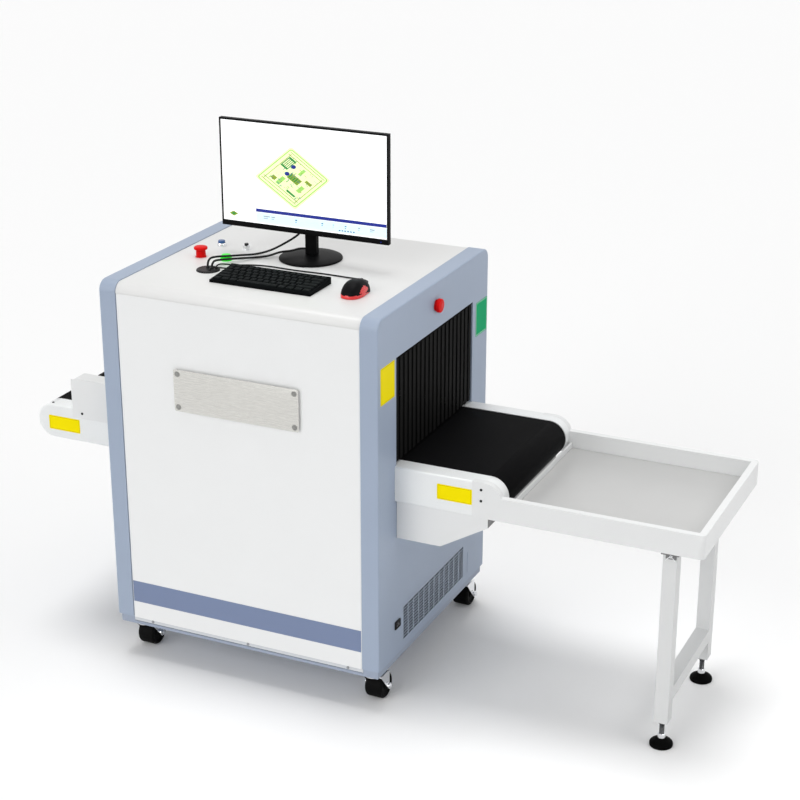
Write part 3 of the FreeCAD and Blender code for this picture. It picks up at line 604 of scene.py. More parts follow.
# Vent plates of bars and webs round the slots, whose walls are painted near black as painted shade in the slots
slots = {"columns": 12, "rows": 11, "long": 0.0285, "tall": 0.0054, "pitchY": 0.035, "pitchZ": 0.0091,
         "bottom": 0.155, "margin": 0.012, "thick": 0.0012}
ventHalf = ((slots["columns"] - 1) * slots["pitchY"] + slots["long"]) / 2
ventEdge = ventHalf + slots["margin"]
grille = []
for row in range(slots["rows"] + 1):
    z0 = slots["bottom"] - slots["margin"] if row == 0 else slots["bottom"] + (row - 1) * slots["pitchZ"] + slots["tall"]
    z1 = slots["bottom"] + row * slots["pitchZ"] + (slots["margin"] - slots["pitchZ"] + slots["tall"]
                                                     if row == slots["rows"] else 0)
    grille.append((-ventEdge, ventEdge, z0, z1))
    if row == slots["rows"]:
        continue
    for column in range(slots["columns"] + 1):
        y0 = -ventEdge if column == 0 else -ventHalf + (column - 1) * slots["pitchY"] + slots["long"]
        y1 = ventEdge if column == slots["columns"] else -ventHalf + column * slots["pitchY"]
        grille.append((y0, y1, z1, z1 + slots["tall"]))
ventMesh = bpy.data.meshes.new("vent_grilles")
grilleShape = bmesh.new()
for side in (-1, 1):
    edges = sorted((side * halfLength, side * (halfLength - slots["thick"])))
    for y0, y1, z0, z1 in grille:
        addPart(grilleShape, block(local(edges[0], y0, z0), local(edges[1], y1, z1)))
# Faces across the plate front keep the blue; the slot walls take the near-black painted shade
for face in grilleShape.faces:
    face.material_index = 0 if abs(face.normal.x) > 0.5 else 1
grilleShape.to_mesh(ventMesh)
grilleShape.free()
for finishName in ("cabinetBlue", "ventPaintedShade"):
    ventMesh.materials.append(finishes[finishName])
ventPiece = bpy.data.objects.new("vent_grilles", ventMesh)
scene.collection.objects.link(ventPiece)
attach(ventPiece, "root")
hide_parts("vent_plates")
makePiece("vent_ribs", ribParts, ["cabinetBlue"])
print("plate studs and vents made")

# Screws on the conveyor: dark sockets at the tray joint, one at each guard and one near the infeed nose
screws = {"radius": 0.0036, "height": 0.0014, "tray": ((0.652, 0.666), (0.652, 0.635)),
          "infeed": ((-0.559, 0.674),), "skirt": (-0.591, -0.409, 0.659, 0.774), "skirtThick": 0.0009}
screwParts, skirtParts = [], []
for side in (-1, 1):
    for x, z in screws["tray"] + screws["infeed"]:
        proud = screws["skirtThick"] if screws["skirt"][0] < x < screws["skirt"][1] else 0.0
        place = local(x, side * (railFaceY + proud), z)
        screwParts.append((boltHead(place, (0, side, 0), screws["radius"], screws["height"]), 0))
    x0, x1, z0, z1 = screws["skirt"]
    edges = sorted((side * railFaceY, side * (railFaceY + screws["skirtThick"])))
    skirtParts.append((block(local(x0, edges[0], z0), local(x1, edges[1], z1), 0.0004), 0))
    place = local(-0.665, side * 0.249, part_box("infeed_rails")[1].z - 0.0003)
    screwParts.append((boltHead(place, (0, 0, 1), screws["radius"], screws["height"] + 0.0003), 0))
makePiece("conveyor_screws", screwParts, ["switchBlack"])
makePiece("guard_skirts", skirtParts, ["trayWhite"])

# Grey plate closing the nose of the drive housing, painted shade for its shadowed end face
housingLow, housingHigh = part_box("drive_housing")
nosePlate = {"tall": 0.030, "thick": 0.0009, "inset": 0.001}
low = Vector((housingHigh.x - 0.0004, housingLow.y + nosePlate["inset"], housingHigh.z - nosePlate["tall"]))
high = Vector((housingHigh.x + nosePlate["thick"], housingHigh.y - nosePlate["inset"], housingHigh.z))
makePiece("housing_nose_plate", [(block(low, high, 0.0003), 0)], ["bracketGreyPaintedShade"])

# Satin sheet on the tray floor
trayLow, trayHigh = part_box("outfeed_tray")
traySheet = {"start": 0.7185, "wall": 0.0185, "floor": 0.6022, "thick": 0.0008}
low = local(traySheet["start"], trayLow.y + traySheet["wall"], traySheet["floor"] - 0.0004)
high = Vector((trayHigh.x - traySheet["wall"], trayHigh.y - traySheet["wall"], traySheet["floor"] + traySheet["thick"]))
makePiece("tray_floor_sheet", [(block(low, high, 0.0003), 0)], ["trayFloor"])

# Dark grey bracket cuffs round the heads of the tray legs, their grey partly painted shade under the tray, each with a
# wing nut on its screw
cuffs = {"wall": 0.0045, "tall": 0.020, "screw": 0.0045, "wing": 0.013, "drop": 0.030}
bracketLow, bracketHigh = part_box("leg_brackets")
standLow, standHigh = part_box("tray_legs")
legWidth = standHigh.x - standLow.x
cuffParts, wingParts = [], []
for side in (-1, 1):
    legY = side * (standHigh.y - legWidth / 2)
    middleX = (standLow.x + standHigh.x) / 2
    half = legWidth / 2
    top = bracketLow.z
    for axis, way in (("x", -1), ("x", 1), ("y", -1), ("y", 1)):
        inner, outer = half - 0.0002, half + cuffs["wall"]
        if axis == "x":
            spans = sorted((way * inner, way * outer)), (-outer, outer)
        else:
            spans = (-inner, inner), sorted((way * inner, way * outer))
        cuffParts.append((block((middleX + spans[0][0], legY + spans[1][0], top - cuffs["tall"]),
                                (middleX + spans[0][1], legY + spans[1][1], top + 0.0002), 0.0006), 0))
    # The bracket's tongue hangs a little further down the front of the leg and carries the screw
    face = legY - half - cuffs["wall"]
    low = Vector((middleX - half * 0.55, face, top - cuffs["drop"]))
    high = Vector((middleX + half * 0.9, legY - half + 0.0002, top - cuffs["tall"] + 0.002))
    cuffParts.append((block(low, high, 0.0008), 0))
    spot = Vector((middleX + 0.004, face + 0.0002, top - cuffs["tall"] * 1.05))
    wingParts.append((boltHead(spot, (0, -1, 0), cuffs["screw"], 0.004), 0))
    for lean in (-1, 1):
        start = spot + Vector((0, -0.003, 0))
        end = start + Vector((lean * cuffs["wing"], -0.002, -cuffs["wing"] * 0.8))
        wingParts.append((tubeAlong([start, (start + end) / 2 + Vector((0, -0.001, 0.002)), end], 0.0014, 10), 0))
makePiece("leg_cuffs", cuffParts, ["bracketGreyPaintedShade"])
makePiece("wing_nuts", wingParts, ["chrome"])
# The leg brackets take the same grey, partly painted shade under the tray
dress(["leg_brackets"], "bracketGreyPaintedShade", 0.0008)
print("conveyor details made")

# Curtains: a row of overlapping rubber strips at each end
curtains = {"strips": 37, "thick": 0.0014, "stagger": 0.0011, "overlap": 0.0012, "rows": 14, "wander": 0.0003,
            "seed": 7}


def hangStrips(low, high, count, outward, chance):
    # Every other strip hangs behind, and the last one is again in front; the strips behind take the darker rubber copy
    # as painted shade
    pitch = (high.y - low.y) / count
    centreX = (low.x + high.x) / 2
    parts = []
    for i in range(count):
        stripX = centreX + outward * (-curtains["stagger"] if i % 2 else curtains["stagger"])
        y0 = low.y + i * pitch - (curtains["overlap"] if i else 0)
        y1 = low.y + (i + 1) * pitch + (curtains["overlap"] if i < count - 1 else 0)
        bottom = low.z + chance.uniform(0, 0.003)
        lean, phase = chance.uniform(-1, 1) * curtains["wander"], chance.uniform(0, 6)
        strip = bmesh.new()
        rings = []
        for k in range(curtains["rows"] + 1):
            share = k / curtains["rows"]
            z = high.z + (bottom - high.z) * share
            x = stripX + lean * share + 0.0002 * math.sin(phase + 5 * share)
            t = curtains["thick"] / 2
            rings.append([strip.verts.new((x + a * t, y, z)) for a, y in
                          ((-1, y0 + 0.0004), (1, y0), (1, y1), (-1, y1 - 0.0004))])
        for first, second in zip(rings, rings[1:]):
            for a in range(4):
                b = (a + 1) % 4
                strip.faces.new((first[a], first[b], second[b], second[a]))
        strip.faces.new(rings[0][::-1])
        strip.faces.new(rings[-1])
        bmesh.ops.recalc_face_normals(strip, faces=strip.faces)
        parts.append((strip, i % 2))
    return parts


chance = random.Random(curtains["seed"])
rubbers = ["curtainRubber", "curtainPaintedShade"]
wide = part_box("curtain_right")
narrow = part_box("curtain_left")
stripWidth = (wide[1].y - wide[0].y) / curtains["strips"]
makePiece("curtain_right_strips", hangStrips(*wide, curtains["strips"], 1, chance), rubbers,
          "curtain_right", ["curtain_right"])
narrowCount = 2 * round((narrow[1].y - narrow[0].y) / stripWidth / 2) + 1
makePiece("curtain_left_strips", hangStrips(*narrow, narrowCount, -1, chance), rubbers,
          "curtain_left", ["curtain_left"])
sideLow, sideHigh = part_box("curtain_side_strips")
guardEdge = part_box("belt")[1].y + 0.0025
sideParts = []
for side in (-1, 1):
    ends = sorted((side * guardEdge, side * sideHigh.y))
    low, high = Vector((sideLow.x, ends[0], sideLow.z)), Vector((sideHigh.x, ends[1], sideHigh.z))
    sideParts += hangStrips(low, high, 3, -1, chance)
makePiece("curtain_still_strips", sideParts, rubbers, "root", ["curtain_side_strips"])
print("curtains hung")

# Stop buttons: a flanged collar, and a mushroom head on a stem
stops = {"collar": 0.0135, "flange": 0.0155, "stem": 0.0115, "head": 0.019, "rest": 0.005, "headHeight": 0.008,
         "skirt": 0.0034, "skirtWall": 0.0026, "sunk": 0.006,
         "places": (("top", (-0.278, -0.052, 0.0), (0, 0, 1), 0.016), ("right", (1, 0, 1.050), (1, 0, 0), 0.003),
                    ("left", (-1, 0, 1.050), (-1, 0, 0), 0.003))}
collarParts = []
for word, place, axis, tall in stops["places"]:
    if word == "top":
        base = local(place[0], place[1], coverTop)
    else:
        base = local(place[0] * halfLength, place[1], place[2])
    collar, flange, stem, head = (stops[k] for k in ("collar", "flange", "stem", "head"))
    # A face collar reaches into the wall, and the top one stands on the cover
    sunk = [] if word == "top" else [(collar - 0.0002, -stops["sunk"]), (collar - 0.0002, 0)]
    collarParts.append((turned(sunk + [(flange, 0), (flange, 0.0008), (flange - 0.0006, 0.0014), (collar, 0.0014),
                                (collar, tall - 0.0006), (collar - 0.0006, tall), (stem + 0.0008, tall),
                                (stem + 0.0005, tall - 0.0008), (stem + 0.0005, tall - 0.0065),
                                (0.0003, tall - 0.0065)], base, axis), 0))
    under = tall + stops["rest"]
    top = under + stops["headHeight"]
    # The face buttons have a skirt that closes over their low collar
    back = under if word == "top" else under - stops["skirt"]
    headShape = turned([(0.0003, tall - 0.001), (stem, tall - 0.001), (stem, under - 0.0004), (stem + 0.002, under),
                        (head - stops["skirtWall"], under), (head - stops["skirtWall"] + 0.0004, back + 0.0003),
                        (head - 0.001, back + 0.0003), (head - 0.0002, back + 0.0012), (head, back + 0.0028),
                        (head - 0.0003, top - 0.0022), (head - 0.0014, top - 0.0008), (head - 0.0036, top - 0.0001),
                        (head - 0.006, top), (head - 0.0066, top - 0.0004), (head - 0.0072, top),
                        (0.0003, top)], base, axis, 56)
    makePiece("stop_mushroom_" + word, [(headShape, 0)], ["stopRed"], "stop_head_" + word,
              ["stop_head_" + word])
makePiece("stop_collars", collarParts, ["stopRed"], "root", ["stop_bodies"])

# Push buttons and key switch on the cover
panelKeys = {"green": (-0.198, -0.052, 0.016, 0.008, 0.013, 0.009), "blue": (-0.278, 0.062, 0.013, 0.010, 0.010, 0.008),
             "key": (-0.198, 0.062, 0.010, 0.013, 0.006, 0.004), "sunk": 0.001, "well": 0.0055}
ringParts = []
for word in ("green", "blue"):
    x, y, ringRadius, ringHeight, capRadius, capHeight = panelKeys[word]
    base = local(x, y, coverTop)
    wellRadius = capRadius + 0.0004
    ringShape = turned([(ringRadius, 0), (ringRadius, ringHeight - 0.0012), (ringRadius - 0.0008, ringHeight),
                        (wellRadius + 0.0005, ringHeight), (wellRadius, ringHeight - 0.0006),
                        (wellRadius, ringHeight - panelKeys["well"]), (0.0003, ringHeight - panelKeys["well"])], base)
    ringParts.append((ringShape, 1 if word == "green" else 0))
    foot = ringHeight - panelKeys["sunk"]
    cap = turned([(0.0003, foot), (capRadius, foot), (capRadius, foot + capHeight - 0.0018),
                  (capRadius - 0.0006, foot + capHeight - 0.0006), (capRadius - 0.0022, foot + capHeight - 0.0001),
                  (capRadius * 0.5, foot + capHeight), (0.0003, foot + capHeight)], base)
    finish = "buttonGreen" if word == "green" else "buttonBlue"
    makePiece(word + "_cap", [(cap, 0)], [finish], word + "_button", [word + "_button"])
x, y, ringRadius, ringHeight, capRadius, capHeight = panelKeys["key"]
base = local(x, y, coverTop)
ringParts.append((turned([(ringRadius + 0.002, 0), (ringRadius + 0.002, 0.0012), (ringRadius, 0.0016),
                          (ringRadius, ringHeight - 0.001), (ringRadius - 0.001, ringHeight), (0.0003, ringHeight)],
                         base), 0))
makePiece("button_rings", ringParts, ["chrome", "buttonGreen"], "root", ["control_rings"])
barrel = turned([(capRadius, 0.0), (capRadius, capHeight - 0.0008), (capRadius - 0.0008, capHeight),
                 (0.0003, capHeight)], base + Vector((0, 0, ringHeight + 0.0003)))
slotBlock = block(base + Vector((-0.0006, -0.0035, ringHeight + capHeight - 0.0002)),
                  base + Vector((0.0006, 0.0035, ringHeight + capHeight + 0.0005)), 0.0002)
makePiece("key_barrel", [(barrel, 0), (slotBlock, 1)], ["switchBlack", "zinc"], "key_switch",
          ["key_switch"])

# Cable grommet: a rimmed disc with a shallow mouth where the cables leave
grommet = {"x": -0.195, "y": -0.155, "radius": 0.032, "height": 0.004}
base = local(grommet["x"], grommet["y"], coverTop)
radius, height = grommet["radius"], grommet["height"]
disc = turned([(radius, 0), (radius, height * 0.4), (radius - 0.0009, height * 0.8), (radius - 0.0024, height),
               (radius - 0.0052, height), (radius - 0.006, height * 0.8), (radius - 0.0068, height * 0.8),
               (radius - 0.0076, height * 0.95), (0.0003, height * 0.95)], base, steps=64)
makePiece("grommet_disc", [(disc, 0)], ["switchBlack"], "root", ["cable_grommet"])
print("controls made")


# Keyboard: a low wedge case with rows of separate caps
keyboard = {"rim": 0.004, "front": 0.0078, "rear": 0.0172, "edge": 0.0050, "gap": 0.0026, "capRise": 0.0042,
            "capTaper": 0.0014, "units": 15.0}
keyRows = ([15 / 16] * 16,
           [1.0] * 13 + [2.0],
           [1.5] + [1.0] * 12 + [1.5],
           [1.75] + [1.0] * 11 + [2.25],
           [2.25] + [1.0] * 10 + [2.75],
           [1.25] * 3 + [6.25] + [1.25] * 4)
boardLow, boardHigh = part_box("keyboard")


def boardLevel(y):
    share = (y - boardLow.y) / (boardHigh.y - boardLow.y)
    return boardLow.z + keyboard["front"] + share * (keyboard["rear"] - keyboard["front"])


def keyCap(x0, x1, y0, y1):
    cap = bmesh.new()
    rings = []
    for inset, rise in ((0, -0.0004), (0, 0.0006), (keyboard["capTaper"] * 0.8, keyboard["capRise"] * 0.85),
                        (keyboard["capTaper"] + 0.0006, keyboard["capRise"])):
        corners = ((x0 + inset, y0 + inset), (x1 - inset, y0 + inset), (x1 - inset, y1 - inset),
                   (x0 + inset, y1 - inset))
        rings.append([cap.verts.new((x, y, boardLevel(y) + rise)) for x, y in corners])
    for first, second in zip(rings, rings[1:]):
        for i in range(4):
            j = (i + 1) % 4
            cap.faces.new((first[i], first[j], second[j], second[i]))
    cap.faces.new(rings[0][::-1])
    cap.faces.new(rings[-1])
    upright = [e for e in cap.edges if abs(e.verts[0].co.z - e.verts[1].co.z) > 0.0008]
    bmesh.ops.bevel(cap, geom=upright, offset=0.0009, segments=2, profile=0.5, affect="EDGES")
    return cap


caseSides = [(boardLow.y, boardLow.z), (boardHigh.y, boardLow.z),
             (boardHigh.y, boardLow.z + keyboard["rear"] + keyboard["edge"] * 0.35),
             (boardHigh.y - 0.0045, boardLow.z + keyboard["rear"] + keyboard["edge"] * 0.35),
             (boardHigh.y - 0.0060, boardLevel(boardHigh.y - 0.006)), (boardLow.y + 0.0045, boardLevel(boardLow.y)),
             (boardLow.y + 0.0015, boardLow.z + keyboard["front"] + 0.0006), (boardLow.y, boardLow.z + 0.004)]
boardParts = [(prism(caseSides, boardLow.x, boardHigh.x, "x", 0.0012), 0)]
depth = (boardHigh.y - boardLow.y - 2 * keyboard["edge"] - 0.002) / len(keyRows)
width = (boardHigh.x - boardLow.x - 2 * keyboard["edge"]) / keyboard["units"]
for row, sizes in enumerate(keyRows):
    x = boardLow.x + keyboard["edge"]
    y1 = boardHigh.y - keyboard["edge"] - 0.002 - row * depth
    for size in sizes:
        boardParts.append((keyCap(x + keyboard["gap"] / 2, x + size * width - keyboard["gap"] / 2,
                                  y1 - depth + keyboard["gap"] / 2, y1 - keyboard["gap"] / 2), 1))
        x += size * width
makePiece("keyboard_keys", boardParts, ["keyboardBlack", "keyBlack"], "root", ["keyboard"])
print("keyboard made:", sum(len(sizes) for sizes in keyRows), "keys")

# Mouse: a domed shell, red along the rim of the palm end and in a crescent on the thumb side
mouse = {"square": 0.80, "bulge": 0.62, "dome": 0.95, "peak": -0.12, "fall": 0.42, "rows": 24, "steps": 72,
         "rimRise": 0.24, "wheelWidth": 0.006, "wheelRadius": 0.0105}
mouseLow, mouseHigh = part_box("mouse")
mouseMid = (mouseLow + mouseHigh) / 2
halfWidth, halfDepth, mouseHeight = (mouseHigh.x - mouseLow.x) / 2, (mouseHigh.y - mouseLow.y) / 2, 0.0395


def mousePoint(angle, rise, proud=0.0):
    # angle goes round the outline, rise from the foot (0) to the crown (90 degrees)
    def power(value, share):
        return math.copysign(abs(value) ** share, value)
    across = power(math.cos(angle), mouse["square"])
    along = power(math.sin(angle), mouse["square"])
    reach = power(math.cos(rise), mouse["bulge"])
    y = along * reach
    waist = 1 - 0.07 * math.exp(-((y - 0.15) / 0.45) ** 2) - 0.05 * max(0.0, y)
    middle = (y - mouse["peak"]) / (1.1 - mouse["peak"] * (1 if y > mouse["peak"] else -1))
    crown = 1 - mouse["fall"] * abs(middle) ** 2.2
    return Vector((mouseMid.x + (halfWidth + proud) * across * reach * waist, mouseMid.y + (halfDepth + proud) * y,
                   mouseLow.z + 0.0009 + (mouseHeight - 0.001 + proud) * crown * power(math.sin(rise), mouse["dome"])))


def mouseShell():
    shell = bmesh.new()
    rings = []
    steps = mouse["steps"]
    for k in range(mouse["rows"] + 1):
        rise = math.radians(89.0 * (k / mouse["rows"]) ** 1.1)
        rings.append([shell.verts.new(mousePoint(2 * math.pi * i / steps, rise)) for i in range(steps)])
    for k, (first, second) in enumerate(zip(rings, rings[1:])):
        for i in range(steps):
            j = (i + 1) % steps
            face = shell.faces.new((first[i], first[j], second[j], second[i]))
            middle = face.calc_center_median()
            y = (middle.y - mouseMid.y) / halfDepth
            x = (middle.x - mouseMid.x) / halfWidth
            risen = (middle.z - mouseLow.z) / mouseHeight
            rim = risen < mouse["rimRise"] * (1 - max(0.0, y + 0.2) * 1.3)
            crescent = x > 0.55 and risen < 0.66 - 1.5 * (y + 0.10) ** 2 and risen > 0.10 + 0.5 * abs(y + 0.1)
            notch = abs(x) < 0.12 and y > 0.74 and risen > 0.28
            face.material_index = 1 if rim or crescent or notch else 0
    shell.faces.new(rings[0][::-1])
    shell.faces.new(rings[-1])
    bmesh.ops.recalc_face_normals(shell, faces=shell.faces)
    return shell


shell = mouseShell()
mouseMesh = bpy.data.meshes.new("mouse_shell")
shell.to_mesh(mouseMesh)
shell.free()
mouseMesh.shade_smooth()
mouseMesh.set_sharp_from_angle(angle=math.radians(50))
for finishName in ("mouseBlack", "mouseRed"):
    mouseMesh.materials.append(finishes[finishName])
mouseShellPiece = bpy.data.objects.new("mouse_shell", mouseMesh)
scene.collection.objects.link(mouseShellPiece)
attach(mouseShellPiece, "root")
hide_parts("mouse")
wheelSpot = mousePoint(math.pi / 2, math.radians(62))
wheelY, wheelTop = wheelSpot.y, wheelSpot.z
wheelProfile = [(0.0004, -mouse["wheelWidth"] / 2), (mouse["wheelRadius"] - 0.001, -mouse["wheelWidth"] / 2),
                (mouse["wheelRadius"], -mouse["wheelWidth"] / 2 + 0.0012), (mouse["wheelRadius"] - 0.0004, 0),
                (mouse["wheelRadius"], mouse["wheelWidth"] / 2 - 0.0012),
                (mouse["wheelRadius"] - 0.001, mouse["wheelWidth"] / 2), (0.0004, mouse["wheelWidth"] / 2)]
wheelCentre = (mouseMid.x, wheelY, wheelTop - mouse["wheelRadius"] + 0.0028)
makePiece("mouse_wheel", [(turned(wheelProfile, wheelCentre, (1, 0, 0), 40), 0)], ["switchBlack"], "root")
splitPoints = [mousePoint(math.pi / 2, math.radians(a), 0.0001) for a in range(16, 87, 5)]
makePiece("mouse_split", [(tubeAlong(splitPoints, 0.0005, 6), 0)], ["keyBlack"], "root")
print("mouse made")

# Monitor: the case keeps its shape, with louvres, a socket panel and small keys added behind
monitor = {"louvres": 9, "louvrePitch": 0.0062, "louvreWidth": 0.15, "louvreHeight": 0.0022, "back": 0.048,
           "screenFront": 0.0205, "screenBack": 0.0215, "layer": 0.00008, "bezelProud": 0.0006}
dress(["monitor_housing"], "monitorBlack", 0.0012)
caseLow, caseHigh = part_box("monitor_housing")
screenLow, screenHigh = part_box("monitor_screen")
caseMid = (caseLow.x + caseHigh.x) / 2
backParts = []
for k in range(monitor["louvres"]):
    z = coverTop + 0.252 - k * monitor["louvrePitch"]
    for side in (-1, 1):
        x = caseMid + side * (monitor["louvreWidth"] / 2 + 0.006)
        half = monitor["louvreWidth"] / 2 - 0.012
        backParts.append((block((x - half, monitor["back"] - 0.001, z),
                                (x + half, monitor["back"] + 0.0012, z + monitor["louvreHeight"]), 0.0006), 0))
socketLow = Vector((caseMid - 0.060, monitor["back"] - 0.001, coverTop + 0.142))
backParts.append((block(socketLow, socketLow + Vector((0.120, 0.0022, 0.003)), 0.0005), 0))
for k in range(4):
    x = caseHigh.x - 0.040 - k * 0.013
    backParts.append((block((x - 0.004, caseLow.y + 0.004, caseLow.z - 0.0012),
                            (x + 0.004, caseLow.y + 0.009, caseLow.z + 0.001), 0.0004), 0))
makePiece("monitor_back_details", backParts, ["monitorBlack"], "monitor_tilted")
frontEdge = caseLow.y - monitor["bezelProud"]
bezelBars = ((caseLow.x, screenLow.x, caseLow.z, caseHigh.z), (screenHigh.x, caseHigh.x, caseLow.z, caseHigh.z),
             (screenLow.x - 0.001, screenHigh.x + 0.001, caseLow.z, screenLow.z),
             (screenLow.x - 0.001, screenHigh.x + 0.001, screenHigh.z, caseHigh.z))
bezelParts = [(block((x0 + 0.0002, frontEdge, z0 + 0.0002), (x1 - 0.0002, caseLow.y + 0.001, z1 - 0.0002), 0.0004), 0)
              for x0, x1, z0, z1 in bezelBars]
bezelParts.append((turned([(0.0016, 0), (0.0016, 0.0006), (0.0002, 0.0008)],
                          (caseHigh.x - 0.022, frontEdge, caseLow.z + 0.0065), (0, -1, 0), 20), 1))
makePiece("monitor_bezel", bezelParts, ["monitorBlack", "screenBlue"], "monitor_tilted")

# Screen picture: a made-up bag seen through, on a slanted tile, with a dark bar and a pale strip below
picture = {"corners": ((-0.143, 1.336), (-0.028, 1.430), (0.091, 1.349), (-0.020, 1.255)), "stripLow": 1.2085,
           "stripHigh": 1.2360, "barLow": 1.2375, "barHigh": 1.2465, "left": -0.141, "right": 0.254, "seed": 11}


def screenLayer(points, level):
    front = screenLow.y + 0.0006 - level * monitor["layer"]
    return prism([(cabinetX + x, z) for x, z in points], front, front + 0.0004, "y")


def rectangle(x0, x1, z0, z1):
    return [(x0, z0), (x1, z0), (x1, z1), (x0, z1)]


def slanted(points):
    # Points in 0 to 1 across the tile, laid between its four corners: left, top, right and bottom
    left, up, right, down = picture["corners"]
    places = []
    for a, b in points:
        near = [left[i] + (down[i] - left[i]) * a for i in range(2)]
        far = [up[i] + (right[i] - up[i]) * a for i in range(2)]
        places.append(tuple(near[i] + (far[i] - near[i]) * b for i in range(2)))
    return places


def oval(x, y, radiusX, radiusY, steps=20):
    return [(x + radiusX * math.cos(2 * math.pi * k / steps), y + radiusY * math.sin(2 * math.pi * k / steps))
            for k in range(steps)]


def tileBox(x0, x1, y0, y1, level, tint):
    screenParts.append((screenLayer(slanted(rectangle(x0, x1, y0, y1)), level), tint))


screenParts = [(block(Vector((screenLow.x, screenLow.y + 0.0006, screenLow.z)), screenHigh), 0)]
screenParts.append((screenLayer(slanted(moved(rounded(1.0, 1.0, 0.05), 0.5, 0.5)), 1), 1))
screenParts.append((screenLayer(slanted(moved(rounded(0.93, 0.93, 0.05), 0.5, 0.5)), 2), 2))
screenParts.append((screenLayer(slanted(moved(rounded(0.89, 0.89, 0.04), 0.5, 0.5)), 3), 1))
# Thin seams, then the denser things packed inside
for level in (0.10, 0.16, 0.84, 0.90):
    tileBox(0.08, 0.92, level, level + 0.012, 4, 3)
for level in (0.12, 0.88):
    tileBox(level, level + 0.012, 0.12, 0.88, 4, 3)
for x0, x1, y0, y1, tint in ((0.14, 0.30, 0.56, 0.82, 4), (0.40, 0.66, 0.44, 0.58, 3), (0.34, 0.42, 0.20, 0.40, 2),
                             (0.70, 0.84, 0.60, 0.66, 3), (0.20, 0.30, 0.22, 0.30, 3), (0.60, 0.80, 0.20, 0.24, 4),
                             (0.50, 0.56, 0.64, 0.80, 2), (0.72, 0.80, 0.34, 0.50, 2)):
    tileBox(x0, x1, y0, y1, 5, tint)
for k in range(4):
    tileBox(0.16 + 0.034 * k, 0.18 + 0.034 * k, 0.60, 0.78, 6, 1)
for k in range(5):
    tileBox(0.42 + 0.046 * k, 0.445 + 0.046 * k, 0.46, 0.56, 6, 4)
for x, y in ((0.34, 0.70), (0.36, 0.50)):
    screenParts.append((screenLayer(slanted(oval(x, y, 0.045, 0.045)), 6), 6))
marks = random.Random(picture["seed"])
for k in range(70):
    x, y = marks.uniform(0.14, 0.86), marks.uniform(0.16, 0.84)
    long, thin = marks.uniform(0.015, 0.07), marks.uniform(0.006, 0.012)
    across, up = (long, thin) if marks.random() < 0.5 else (thin, long)
    tileBox(x, min(x + across, 0.9), y, min(y + up, 0.88), 7, marks.choice((3, 3, 4, 5, 8)))
screenParts.append((screenLayer(rectangle(picture["left"], picture["right"], picture["barLow"], picture["barHigh"]),
                                1), 6))
screenParts.append((screenLayer(rectangle(picture["left"], picture["right"], picture["stripLow"],
                                          picture["stripHigh"]), 1), 7))
for x, wide, tint in ((-0.118, 0.020, 8), (-0.094, 0.012, 8), (-0.020, 0.006, 5), (0.060, 0.005, 5), (0.094, 0.004, 8),
                      (0.130, 0.005, 5), (0.170, 0.006, 8), (0.205, 0.014, 8)):
    screenParts.append((screenLayer(rectangle(x, x + wide, 1.2255, 1.2285), 2), tint))
    screenParts.append((screenLayer(rectangle(x, x + wide * 0.7, 1.2205, 1.2225), 2), tint))
for k in range(6):
    x = 0.112 + 0.0085 * k
    screenParts.append((screenLayer(rectangle(x, x + 0.005, 1.2125, 1.2155), 2), 5))
icon = [(-0.225, 1.2250), (-0.211, 1.2325), (-0.197, 1.2250), (-0.211, 1.2175)]
screenParts.append((screenLayer(icon, 1), 3))
screenParts.append((screenLayer([(x * 0.5 - 0.1055, z * 0.5 + 0.6125) for x, z in icon], 2), 4))
makePiece("screen_picture", screenParts,
          ["screenWhite", "screenYellow", "screenPaleGreen", "screenOlive", "screenGreen", "screenTeal", "screenBlue",
           "screenCyan", "screenGrey"], "monitor_tilted", ["monitor_screen"])

# Monitor foot: a low turned disc
footLow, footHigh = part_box("monitor_base")
footMid = (footLow + footHigh) / 2
footRadius = (footHigh.x - footLow.x) / 2
footTall = footHigh.z - footLow.z
footProfile = [(footRadius - 0.002, 0), (footRadius, 0.0012), (footRadius, 0.0034), (footRadius - 0.0008, 0.005),
               (footRadius - 0.004, 0.0064), (footRadius * 0.6, footTall * 0.85), (footRadius * 0.25, footTall - 0.0003),
               (0.0004, footTall)]
makePiece("monitor_foot_disc", [(turned(footProfile, (footMid.x, footMid.y, footLow.z), steps=96), 0)],
          ["monitorBlack"], "root", ["monitor_base"])
print("monitor made")

# Video cable: a tube along its route, and its plug with a tapered boot
plugLow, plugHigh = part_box("video_plug")
plugMid = (plugLow + plugHigh) / 2
plug = {"boot": 0.022, "bootWide": 0.0052, "rim": 0.0016}
plugParts = [(block(plugLow, plugHigh, plug["rim"], 3), 0)]
bootProfile = [(plug["bootWide"], 0)]
for k in range(5):
    level = plug["boot"] * (k + 0.5) / 5.5
    size = plug["bootWide"] + (cords["leadRadius"] + 0.0006 - plug["bootWide"]) * (k + 1) / 5
    bootProfile += [(size + 0.0003, level), (size + 0.0003, level + plug["boot"] * 0.09),
                    (size - 0.0006, level + plug["boot"] * 0.11), (size - 0.0006, level + plug["boot"] * 0.16)]
bootProfile.append((cords["leadRadius"] + 0.0004, plug["boot"]))
plugParts.append((turned(bootProfile, (plugMid.x, plugMid.y, plugLow.z + 0.0004), (0, 0, -1), 24), 0))
plugPiece = makePiece("video_plug_shell", plugParts, ["cableBlack"], "monitor_tilted", ["video_plug"])
videoLine = linePoints(cords["video"])
videoMesh = bpy.data.meshes.new("video_cable_tube")
tube = tubeAlong(videoLine, cords["leadRadius"], 12)
tube.to_mesh(videoMesh)
tube.free()
videoMesh.shade_smooth()
videoMesh.materials.append(finishes["cableBlack"])
videoPiece = bpy.data.objects.new("video_cable_tube", videoMesh)
scene.collection.objects.link(videoPiece)
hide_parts("video_cable")
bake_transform(videoPiece)
bootParts = []
